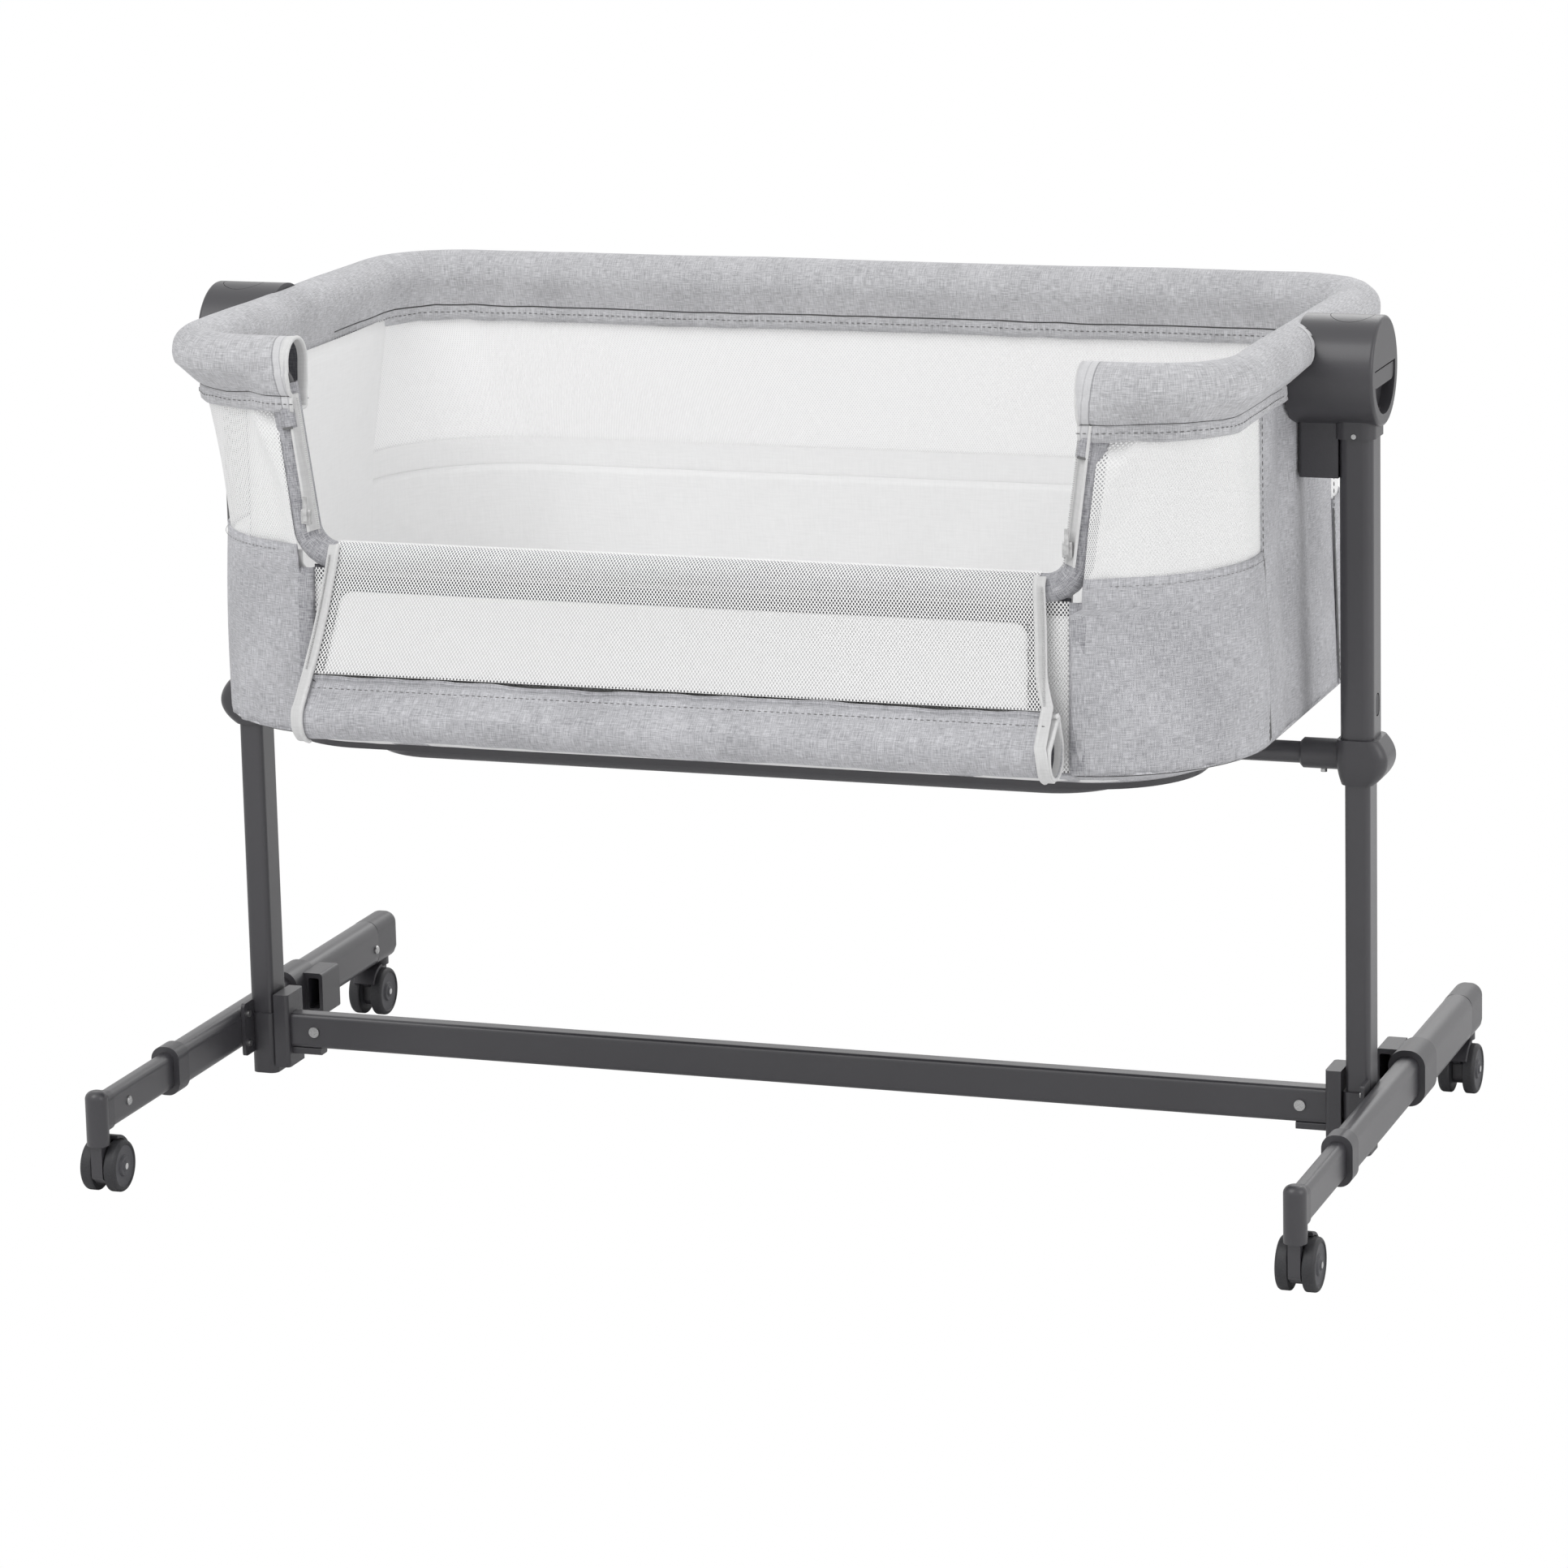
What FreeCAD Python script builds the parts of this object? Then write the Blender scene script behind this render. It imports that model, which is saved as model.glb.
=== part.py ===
import FreeCAD
import Part
import Sketcher
import math
import os

# Bedside sleeper crib: a soft-sided bassinet with one side that unzips and folds down, carried
# between two telescopic posts on wheeled feet. +X is the right hand end, -Y is the side that
# opens towards the bed, +Z is up, and Z = 0 is the floor. All sizes are in millimetres.

V = FreeCAD.Vector
doc = FreeCAD.newDocument("BedsideCrib")
sheet = doc.addObject("Spreadsheet::Sheet", "Sizes")
row = [0]


class Size:
    """A length and the spreadsheet expression that drives it, kept side by side."""

    def __init__(self, value, text):
        self.v, self.e = float(value), text

    def __add__(self, other):
        o = size(other)
        return Size(self.v + o.v, "(%s + %s)" % (self.e, o.e))

    def __sub__(self, other):
        o = size(other)
        return Size(self.v - o.v, "(%s - %s)" % (self.e, o.e))

    def __mul__(self, other):
        o = size(other)
        return Size(self.v * o.v, "(%s * %s)" % (self.e, o.e))

    def __truediv__(self, other):
        o = size(other)
        return Size(self.v / o.v, "(%s / %s)" % (self.e, o.e))

    def __radd__(self, other):
        return size(other) + self

    def __rsub__(self, other):
        return size(other) - self

    def __rmul__(self, other):
        return size(other) * self

    def __neg__(self):
        return Size(-self.v, "(0 - %s)" % self.e)


def size(x):
    return x if isinstance(x, Size) else Size(x, "%.6g" % x)


def dim(alias, value, meaning):
    """One driving dimension: a plain number in the sheet with an alias and a remark."""
    row[0] += 1
    sheet.set("A%d" % row[0], "%g" % value)
    sheet.setAlias("A%d" % row[0], alias)
    sheet.set("B%d" % row[0], meaning)
    return Size(value, "Sizes." + alias)


# ---------------------------------------------------------------- driving dimensions
post_half = dim("PostHalfSpacing", 438, "from the middle of the crib to a post")
post_w = dim("PostWidth", 19, "lower post along X")
post_d = dim("PostDepth", 27, "lower post along Y")
post_r = dim("PostCorner", 4, "lower post corner radius")
post_base = dim("PostBaseHeight", 26, "lower end of the lower post")
wall = dim("TubeWall", 1.5, "wall of the inner tubes")
gap = dim("TubeGap", 1, "gap between a tube and the one that slides over it")
shell = dim("SleeveWall", 2, "wall of the outer post")
upper_base = dim("UpperPostBase", 309, "lower end of the outer post")

run = dim("RunningGap", 0.1, "clearance of a bushing on its tube")
catch_z = upper_base + dim("CatchRise", 52, "catch button above the lower end of the outer post")
catch_h = dim("CatchLength", 17, "catch opening along Z")
catch_w = dim("CatchWidth", 11, "catch opening along Y")
level_pitch = dim("LevelPitch", 28, "distance between height levels")
level_count = 7

leg_w = dim("LegWidth", 13, "front leg tube along X")
leg_h = dim("LegHeight", 28, "front leg tube along Z")
leg_r = dim("LegCorner", 5, "front leg tube corner radius")
foot_z = dim("FootAxisHeight", 62, "height of the foot tubes' axis")
mid_front = dim("MiddleTubeFront", 150, "front end of the middle foot tube, ahead of the post")
mid_rear = dim("MiddleTubeRear", 150, "rear end of the middle foot tube, behind the post")
front_stem = dim("FrontStem", 272, "front caster stem, ahead of the post")
rear_stem = dim("RearStem", 262, "rear caster stem, behind the post")
leg_overlap = dim("LegOverlap", 90, "front leg tube inside the middle tube")
stem_pad = dim("StemPost", 8.5, "radius of the front cap's upright")
rear_tube = dim("RearTubeFront", 67, "front end of the rear leg tube, behind the post")
rear_cap = dim("RearCapLength", 44.5, "length of the rear end cap")
rear_end = dim("RearEnd", 280.5, "rear end of the foot, behind the post")
collar_len = dim("FrontCollarLength", 18, "plastic collar at the front of the middle tube")
rear_collar = dim("RearCollarLength", 38, "plastic collar at the front of the rear tube")
collar_t = dim("CollarThickness", 2.5, "how far the collars stand proud")

wheel_r = dim("WheelRadius", 19.5, "caster wheel radius")
wheel_w = dim("WheelWidth", 9.5, "caster wheel width")
wheel_in = dim("WheelInner", 5, "inner face of a wheel from the caster's middle")
trail = dim("CasterTrail", 14, "axle behind the stem")
axle_r = dim("AxleRadius", 2, "caster axle radius")
stem_z = dim("StemHeight", 39, "top of the caster's collar")

bar_h = dim("CrossbarHeight", 27, "crossbar along Z")
bar_d = dim("CrossbarDepth", 16, "crossbar along Y")
bar_z = dim("CrossbarAxis", 59, "height of the crossbar's axis")
bar_y = dim("CrossbarOffset", 4, "crossbar's axis ahead of the posts")
block_w = dim("BlockWidth", 12, "crossbar block along X")
block_top = dim("BlockTop", 88, "top of the crossbar block")
block_base = dim("BlockBase", 30, "bottom of the crossbar block")
shoe_top = dim("ShoeTop", 72, "top of the post shoe")
shoe_t = dim("ShoeThickness", 2, "wall of the post shoe")

ring_z = upper_base + dim("RingRise", 13.7, "base ring above the lower end of the outer post")
ring_r = dim("RingRadius", 8, "base ring tube radius")
ring_x = post_half - dim("RingFromPost", 150, "base ring's end, inwards from a post")
ring_y = dim("RingHalfDepth", 135, "base ring's half depth on its centre line")
ring_bend = dim("RingBend", 50, "base ring's corner bend")
socket_r = dim("SocketRadius", 11.2, "outside radius of the collar's side socket")
socket_x = post_half - dim("SocketReach", 44, "inner end of the side socket, inwards from a post")
slide_h = dim("HeightCollarHeight", 34, "height of the lower collar")
slide_t = dim("HeightCollarWall", 2.5, "wall of the lower collar round the outer post")
slide_bulge = dim("HeightCollarBulge", 8, "how far the lower collar swells outwards")

hub_z = dim("HubHeight", 606, "height of the hub axis")
post_top = hub_z - dim("LowerPostDrop", 60, "upper end of the lower post below the hub axis")
upper_top = hub_z - dim("PostBelowHub", 28, "upper end of the outer post below the hub axis")
hub_r = dim("HubRadius", 40, "hub barrel radius")
hub_in = post_half - dim("HubReachIn", 46.4, "inner end of the hub, inwards from a post")
hub_out = post_half + dim("HubReachOut", 18.5, "outer end of the hub, outwards from a post")
hub_cut = hub_in + dim("HubSleeveLap", 7.4, "length of hub under the rim sleeve at its top")
hub_x = post_half - dim("HubButtonInset", 5, "middle of the hub button, inwards from a post")
hub_btn = dim("HubButtonRadius", 16, "hub button radius")
face_r = dim("HubFaceRadius", 33, "radius of the recess in the hub's end face")
face_d = dim("HubFaceDepth", 9, "depth of the finger recess")
lever_h = dim("HubLeverHeight", 12, "height of the hub's finger lever")
lever_t = dim("HubLeverThickness", 4, "thickness of the finger lever")
pivot = dim("LeverPivot", 2, "lever hinge above the hub axis")
seam = dim("MouldSeam", 0.4, "seam between a button and its housing")

rim_z = hub_z + dim("RimAboveHub", 18, "rim tube's axis above the hub axis")
rim_x = post_half - dim("RimFromPost", 42, "rim's end centre line, inwards from a post")
rim_y = dim("RimHalfDepth", 218, "rim's half depth on its centre line")
rim_bend = dim("RimBend", 62, "rim corner bend")
rim_pad = dim("RimPadding", 17, "radius of the padded sleeve")
rim_tube = dim("RimTubeRadius", 8, "rim tube radius")
hem_drop = dim("RimHemDrop", 35, "from the rim tube's axis down to the sleeve's hem")
hem_in = dim("RimHemInset", 6, "how far the sleeve's hem sits inside the tube's axis")
hem_w = dim("RimHemHalf", 5, "half thickness of the sleeve's hem")
stub_x = rim_x - dim("StubLength", 101, "rim's half length beyond the open end of the sleeve")
loop_d = dim("StubLoopDepth", 40, "hollow end of the rim sleeve")
leg_top = rim_x - dim("DropLegInset", 88.5, "opening's edge at the rim's height, inwards from its end")
leg_low = leg_top - dim("DropLegTaper", 18.5, "how far the opening narrows down to the low rail")
leg_bend = dim("DropLegBend", 26, "bends of the drop legs")
rail_z = rim_z - dim("RailDrop", 142, "low front rail's axis below the rim's")
roll_r = dim("EdgeRollRadius", 10.6, "sewn roll round the drop legs and the rail")

cloth = dim("ClothThickness", 2.5, "thickness of the sewn walls")
mid_x = rim_x - dim("WallMidInset", 4.5, "outside of the walls at the band's height, inwards from the rim")
mid_y = rim_y + dim("WallMidOut", 5, "outside of the walls at the band's height, ahead of the rim")
wall_mid = rail_z + dim("WallBandRise", 8, "where mesh and band meet, above the rail")
low_x = rim_x + dim("WallLowOverhang", 0, "outside of the walls at their foot, outwards from the rim")
low_y = rim_y + dim("WallLowOut", 11, "outside of the walls at their foot, ahead of the rim")
wall_bend = dim("WallCorner", 122, "corner radius of the walls at their foot")
mid_bend = dim("WallMidCorner", 110, "corner radius of the walls where mesh and band meet")
wall_low = ring_z + dim("WallLowRise", 29.3, "where the walls turn in under the floor, above the base ring")
wall_turn = dim("WallTurnIn", 44, "how far the walls turn in under the floor")
seam_y = dim("SideSeam", 102, "upright seams of the end panels from the middle")
split_x = leg_low - dim("FrontSplitInset", 11, "seam of the low front wall, inwards from the drop leg")
edge_x = leg_low + dim("GussetReach", 4, "low front wall below the rail, outwards from the drop leg")

board_t = dim("FloorBoard", 6, "thickness of the floor board")
board_gap = dim("FloorBoardGap", 2, "floor board inside the foot of the walls")
board_x, board_y = 2 * (low_x - wall_turn - board_gap), 2 * (low_y - wall_turn - board_gap)
mat_t = dim("MattressThickness", 34, "thickness of the mattress")
mat_low = dim("MattressFoot", 15, "height of the mattress's drawn-in foot")
fit = dim("MattressClearance", 6, "clearance of the mattress to the walls")

hinge_z = rail_z + dim("FoldAxisRise", 14.5, "drop side's fold axis above the low rail")
hinge_y = rim_y + dim("FoldAxisOut", 14, "drop side's fold axis ahead of the rim")
knuckle = dim("FoldRadius", 3, "radius of the rolled fold")
drop_x = leg_low + dim("DropOverhang", 2, "half length of the drop side's sleeve beyond the drop leg")
fold_x = drop_x - dim("DropTaper", 19, "how far the drop side narrows up to its fold")

mid_w, mid_h, mid_r = leg_w + 2 * (gap + wall), leg_h + 2 * (gap + wall), leg_r + gap + wall
rear_w, rear_h, rear_r = mid_w + 2 * (gap + wall), mid_h + 2 * (gap + wall), mid_r + gap + wall
foot_x = post_half + post_w / 2 + mid_w / 2
up_w, up_d = post_w + 2 * (gap + shell), post_d + 2 * (gap + shell)
up_r = post_r + gap + shell
doc.recompute()


# ---------------------------------------------------------------- drawing helpers
def body(label):
    b = doc.addObject("PartDesign::Body", label)
    b.Label = label
    return b


def sketch(b, role, at=0, side=0, up=0, name="Sketch"):
    """A sketch on an origin plane of the body, moved along its normal and in its plane."""
    s = b.newObject("Sketcher::SketchObject", name)
    flat = [f for f in b.Origin.OriginFeatures if f.Role == role][0]
    s.AttachmentSupport = (flat, [""])
    s.MapMode = "FlatFace"
    at, side, up = size(at), size(side), size(up)
    s.AttachmentOffset = FreeCAD.Placement(V(side.v, up.v, at.v), FreeCAD.Rotation())
    for axis, part in (("x", side), ("y", up), ("z", at)):
        s.setExpression("AttachmentOffset.Base." + axis, part.e)
    return s


def pin(s, geo, pos, x, y):
    """Tie a point of the sketch to the sketch's origin."""
    for kind, part, axis in (("DistanceX", size(x), -2), ("DistanceY", size(y), -1)):
        if part.v == 0 and "Sizes" not in part.e:
            s.addConstraint(Sketcher.Constraint("PointOnObject", geo, pos, axis))
        else:
            c = s.addConstraint(Sketcher.Constraint(kind, -1, 1, geo, pos, part.v))
            s.setExpression("Constraints[%d]" % c, part.e)


def circle(s, x, y, r):
    g = s.addGeometry(Part.Circle(V(size(x).v, size(y).v, 0), V(0, 0, 1), r.v))
    pin(s, g, 3, x, y)
    c = s.addConstraint(Sketcher.Constraint("Radius", g, r.v))
    s.setExpression("Constraints[%d]" % c, r.e)


def outline(s, points, radii=None, closed=True):
    """A polyline whose corners may be rounded; each corner is tied to the sketch's origin."""
    n = len(points)
    pts = [(size(x), size(y)) for x, y in points]
    radii = [size(r) if r else None for r in (radii or [None] * n)]
    flat = [V(x.v, y.v, 0) for x, y in pts]
    ends = []
    for i, p in enumerate(flat):
        if radii[i] is None:
            ends.append((p, p, None, 0))
            continue
        a, b = (flat[i - 1] - p).normalize(), (flat[(i + 1) % n] - p).normalize()
        half = math.acos(max(-1.0, min(1.0, a.dot(b)))) / 2
        cut, reach = radii[i].v / math.tan(half), radii[i].v / math.sin(half)
        mid = p + (a + b).normalize() * reach
        ends.append((p + a * cut, p + b * cut, mid, a.cross(b).z))
    count = n if closed else n - 1
    lines = [s.addGeometry(Part.LineSegment(ends[i][1], ends[(i + 1) % n][0])) for i in range(count)]
    for i, p in enumerate(flat):
        before = lines[i - 1] if (closed or i > 0) else None
        after = lines[i] if i < count else None
        if radii[i] is None:
            if before is not None and after is not None:
                s.addConstraint(Sketcher.Constraint("Coincident", before, 2, after, 1))
            g, pos = (after, 1) if after is not None else (before, 2)
            pin(s, g, pos, *pts[i])
            continue
        t1, t2, mid, turn = ends[i]
        first, last = (t1, t2) if turn < 0 else (t2, t1)
        angles = [math.atan2(q.y - mid.y, q.x - mid.x) for q in (first, last)]
        arc = s.addGeometry(Part.ArcOfCircle(Part.Circle(mid, V(0, 0, 1), radii[i].v), *angles))
        into, out = (1, 2) if turn < 0 else (2, 1)
        s.addConstraint(Sketcher.Constraint("Tangent", before, 2, arc, into))
        s.addConstraint(Sketcher.Constraint("Tangent", after, 1, arc, out))
        c = s.addConstraint(Sketcher.Constraint("Radius", arc, radii[i].v))
        s.setExpression("Constraints[%d]" % c, radii[i].e)
        mark = s.addGeometry(Part.Point(p), True)
        s.addConstraint(Sketcher.Constraint("PointOnObject", mark, 1, before))
        s.addConstraint(Sketcher.Constraint("PointOnObject", mark, 1, after))
        pin(s, mark, 1, *pts[i])


def rounded(s, x, y, w, h, r=None):
    """A rectangle about (x, y), w by h, with corners of radius r."""
    a, b, c, d = x - w / 2, x + w / 2, y - h / 2, y + h / 2
    outline(s, [(a, c), (b, c), (b, d), (a, d)], [r] * 4)


def feature(b, kind, s, length=None, back=False, both=False, cut=False):
    before = b.Shape.Volume if cut else 0
    f = b.newObject("PartDesign::" + kind, kind)
    f.Profile = s
    if length is not None:
        f.setExpression("Length", size(length).e)
        f.Length = size(length).v
    if both:
        f.SideType = "Symmetric"
    f.Reversed = back
    doc.recompute()
    if cut and b.Shape.Volume > before - 1e-3:
        raise ValueError(b.Label + ": a cut missed the solid")
    return f


def pad(b, s, length, back=False, both=False):
    return feature(b, "Pad", s, length, back, both)


def pocket(b, s, length, back=False, both=False):
    doc.recompute()
    return feature(b, "Pocket", s, length, back, both, True)


def spin(b, s, axis="H_Axis", cut=False):
    if cut:
        doc.recompute()
    before = b.Shape.Volume if cut else 0
    f = b.newObject("PartDesign::" + ("Groove" if cut else "Revolution"), "Turned")
    f.Profile = s
    f.ReferenceAxis = (s, [axis])
    f.Angle = 360
    doc.recompute()
    if cut and b.Shape.Volume > before - 1e-3:
        raise ValueError(b.Label + ": a groove missed the solid")
    return f


def pipe(b, profile, path, cut=False):
    doc.recompute()
    before = b.Shape.Volume if cut else 0
    f = b.newObject("PartDesign::" + ("SubtractivePipe" if cut else "AdditivePipe"), "Swept")
    f.Profile = profile
    f.Spine = (path, [""])
    doc.recompute()
    if cut and b.Shape.Volume > before - 1e-3:
        raise ValueError(b.Label + ": a swept cut missed the solid")
    return f


def dress(b, kind, amount, wanted):
    """A fillet or chamfer on the edges of the body that the test picks."""
    doc.recompute()
    names = ["Edge%d" % (i + 1) for i, e in enumerate(b.Shape.Edges) if wanted(e)]
    if not names:
        raise ValueError(b.Label + ": no edge to round")
    f = b.newObject("PartDesign::" + kind, kind)
    f.Base = (b.Tip if b.Tip != f else f.BaseFeature, names)
    key = "Radius" if kind == "Fillet" else "Size"
    f.setExpression(key, size(amount).e)
    doc.recompute()
    return f


def box_of(e):
    return e.BoundBox


def mirrored(source, label, across="X", about=None):
    """The same moulding made for the other end: a mirror image with a name of its own."""
    m = doc.addObject("Part::Mirroring", label)
    m.Label = label
    m.Source = source
    m.Normal = V(1, 0, 0) if across == "X" else V(0, 1, 0)
    if about is not None:
        m.Base = V(0, about.v, 0)
        m.setExpression("Base.y", about.e)
    return m


pieces = []


def keep(*objects):
    pieces.extend(objects)


def pair(right, name):
    """Keep a right hand piece and its left hand mirror image."""
    right.Label = name + "_right"
    keep(right, mirrored(right, name + "_left"))


# ---------------------------------------------------------------- lower posts and crossbar
b = body("lower_post")
s = sketch(b, "XY_Plane", post_base)
rounded(s, post_half, size(0), post_w, post_d, post_r)
rounded(s, post_half, size(0), post_w - 2 * wall, post_d - 2 * wall, post_r - wall)
pad(b, s, post_top - post_base)
for level in range(level_count):
    # one catch hole per height level, in the outer face
    s = sketch(b, "YZ_Plane", post_half)
    rounded(s, size(0), catch_z + level * level_pitch, catch_w - 1, catch_h - 1, catch_w / 2 - 1)
    pocket(b, s, post_w, back=True)
pair(b, "lower_post")

b = body("crossbar")
s = sketch(b, "YZ_Plane", 0)
block_x = post_half - post_w / 2 - shoe_t - 0.2 - block_w
rounded(s, -bar_y, bar_z, bar_d, bar_h, size(3.5))
rounded(s, -bar_y, bar_z, bar_d - 2 * wall, bar_h - 2 * wall, size(2))
pad(b, s, 2 * (block_x + 8), both=True)
keep(b)

# moulded blocks that join the crossbar to the posts, with a tongue under the bar

def part_box(label, x, y, z, dx, dy, dz):
    o = doc.addObject("Part::Box", label)
    for key, value in (("Length", dx), ("Width", dy), ("Height", dz)):
        setattr(o, key, size(value).v)
        o.setExpression(key, size(value).e)
    o.Placement = FreeCAD.Placement(V(size(x).v, size(y).v, size(z).v), FreeCAD.Rotation())
    for axis, value in (("x", x), ("y", y), ("z", z)):
        o.setExpression("Placement.Base." + axis, size(value).e)
    return o


def part_rod(label, direction, x, y, z, r, length):
    o = doc.addObject("Part::Cylinder", label)
    o.Radius, o.Height = size(r).v, size(length).v
    o.setExpression("Radius", size(r).e)
    o.setExpression("Height", size(length).e)
    o.Placement = FreeCAD.Placement(V(size(x).v, size(y).v, size(z).v),
                                    FreeCAD.Rotation(V(0, 0, 1), V(*direction)))
    for axis, value in (("x", x), ("y", y), ("z", z)):
        o.setExpression("Placement.Base." + axis, size(value).e)
    return o


def boolean(kind, label, base, tool):
    o = doc.addObject("Part::" + kind, label)
    o.Base, o.Tool = base, tool
    return o


def group(label, members):
    """Like pieces kept under one name as a set of separate solids."""
    o = doc.addObject("Part::Compound", label)
    o.Links = members
    o.Label = label
    return o


b = body("crossbar_block")
block_front = -bar_y - bar_d / 2 - 5
s = sketch(b, "XY_Plane", block_base)
outline(s, [(block_x, block_front), (block_x + block_w, block_front),
            (block_x + block_w, size(14)), (block_x, size(14))], [3, None, None, 3])
pad(b, s, block_top - block_base)
s = sketch(b, "YZ_Plane", block_x)
rounded(s, -bar_y, bar_z, bar_d + 0.2, bar_h + 0.2, size(3.6))
pocket(b, s, 8.1, back=True)
s = sketch(b, "YZ_Plane", block_x)
rounded(s, -bar_y, bar_z - bar_h / 2 - 3, bar_d - 4, size(5.8), size(1.5))
pad(b, s, 24, back=True)
keep(group("crossbar_blocks", [b, mirrored(b, "crossbar_block_mirror")]))

b = body("post_shoe")
s = sketch(b, "XY_Plane", post_base - 2)
rounded(s, post_half - shoe_t / 2 - 0.1, size(0), post_w + shoe_t, post_d + 2 * shoe_t + 0.2, post_r + 2)
pad(b, s, shoe_top - post_base + 2)
s = sketch(b, "YZ_Plane", post_half + post_w / 2 - 3)
rounded(s, -post_d / 2 - 9, foot_z, size(18), mid_h + 9, size(3))
pad(b, s, size(2.9))
s = sketch(b, "XY_Plane", post_base)
rounded(s, post_half, size(0), post_w + run, post_d + run, post_r)
pocket(b, s, shoe_top, back=True)
keep(group("post_shoes", [b, mirrored(b, "post_shoe_mirror")]))


# ---------------------------------------------------------------- telescopic feet
def tube_along_y(label, w, h, r, y0, y1):
    """A rounded rectangular tube along Y between y0 and y1, on the foot's axis."""
    t = body(label)
    sk = sketch(t, "XZ_Plane", -y1)
    rounded(sk, foot_x, foot_z, w, h, r)
    rounded(sk, foot_x, foot_z, w - 2 * wall, h - 2 * wall, r - wall)
    pad(t, sk, y1 - y0)
    return t


pair(tube_along_y("foot_tube", mid_w, mid_h, mid_r, -mid_front, mid_rear), "foot_tube")
pair(tube_along_y("front_leg_tube", leg_w, leg_h, leg_r, -front_stem + stem_pad,
                  -mid_front + leg_overlap), "front_leg_tube")
pair(tube_along_y("rear_leg_tube", rear_w, rear_h, rear_r, rear_tube, rear_end - rear_cap),
     "rear_leg_tube")

b = body("foot_collar")
s = sketch(b, "XZ_Plane", mid_front - collar_len + 2)
rounded(s, foot_x, foot_z, mid_w + 2 * collar_t, mid_h + 2 * collar_t, mid_r + collar_t)
pad(b, s, collar_len)
s = sketch(b, "XZ_Plane", mid_front - collar_len + 2)
rounded(s, foot_x, foot_z, mid_w + run, mid_h + run, mid_r)
pocket(b, s, collar_len - 2, back=True)
s = sketch(b, "XZ_Plane", mid_front)
rounded(s, foot_x, foot_z, leg_w + 2 * run, leg_h + 2 * run, leg_r + run)
pocket(b, s, 2, back=True)
keep(group("foot_collars", [b, mirrored(b, "foot_collar_mirror")]))

# the rear collar carries a hollow lug on its inner side
b = body("rear_leg_collar")
s = sketch(b, "XZ_Plane", -rear_tube - rear_collar + 2)
rounded(s, foot_x, foot_z, rear_w + 2 * collar_t, rear_h + 2 * collar_t, rear_r + collar_t)
pad(b, s, rear_collar)
lug_x = post_half - post_w / 2
s = sketch(b, "XZ_Plane", -rear_tube - rear_collar - 12)
outline(s, [(lug_x, foot_z - mid_h / 2 - 2), (foot_x - rear_w / 2, foot_z - mid_h / 2 - 2),
            (foot_x - rear_w / 2, foot_z + mid_h / 2), (lug_x, foot_z + mid_h / 2)],
        [2, None, None, 3])
pad(b, s, rear_collar - 4)
s = sketch(b, "XZ_Plane", -rear_tube - rear_collar - 9)
rounded(s, lug_x + 7.5, foot_z, size(9), mid_h - 8, size(1.5))
pocket(b, s, rear_collar, back=True)
s = sketch(b, "XZ_Plane", -rear_tube)
rounded(s, foot_x, foot_z, rear_w + run, rear_h + run, rear_r)
pocket(b, s, rear_collar + 20)
s = sketch(b, "XZ_Plane", -rear_tube + 2)
rounded(s, foot_x, foot_z, mid_w + 2 * run, mid_h + 2 * run, mid_r + run)
pocket(b, s, 3)
pair(b, "rear_leg_collar")

b = body("front_leg_cap")
cap_top = foot_z + leg_h / 2 + 4.5
s = sketch(b, "XY_Plane", stem_z)
circle(s, foot_x, -front_stem, stem_pad)
pad(b, s, cap_top - stem_z)
dress(b, "Fillet", 6, lambda e: abs(box_of(e).ZMin - cap_top.v) < 0.01 and abs(box_of(e).ZMax - cap_top.v) < 0.01)
s = sketch(b, "XZ_Plane", front_stem - stem_pad - 6)
rounded(s, foot_x, foot_z, leg_w + 2, leg_h + 2, leg_r + 1)
pad(b, s, 12)
s = sketch(b, "XZ_Plane", front_stem - stem_pad)
rounded(s, foot_x, foot_z, leg_w + run, leg_h + run, leg_r)
pocket(b, s, 6.1, back=False)
s = sketch(b, "XZ_Plane", front_stem - stem_pad - 22)
rounded(s, foot_x, foot_z, leg_w - 2 * wall - 0.4, leg_h - 2 * wall - 0.4, leg_r - wall)
pad(b, s, 24)
s = sketch(b, "XY_Plane", stem_z - 1)
circle(s, foot_x, -front_stem, size(4.05))
pocket(b, s, 18, back=True)
pair(b, "front_leg_cap")

b = body("rear_leg_cap")
s = sketch(b, "YZ_Plane", foot_x - rear_w / 2)
low, high = foot_z - rear_h / 2, foot_z + rear_h / 2
outline(s, [(rear_end - rear_cap, low), (rear_end - 8, low), (rear_end, low + 6), (rear_end, high),
            (rear_end - rear_cap, high)], [None, 2, 2, 9, None])
pad(b, s, rear_w)
dress(b, "Fillet", rear_w / 2 - 2, lambda e: (abs(box_of(e).ZMin - high.v) < 0.01
                                              and box_of(e).YLength > 20))
s = sketch(b, "XZ_Plane", -rear_end + rear_cap - 0.1)
rounded(s, foot_x, foot_z, rear_w - 2 * wall - 0.4, rear_h - 2 * wall - 0.4, rear_r - wall)
pad(b, s, 14)
s = sketch(b, "XY_Plane", stem_z)
circle(s, foot_x, rear_stem, size(8))
pad(b, s, low - stem_z + 6)
s = sketch(b, "XY_Plane", stem_z - 1)
circle(s, foot_x, rear_stem, size(4.05))
pocket(b, s, 18, back=True)
pair(b, "rear_leg_cap")

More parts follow.
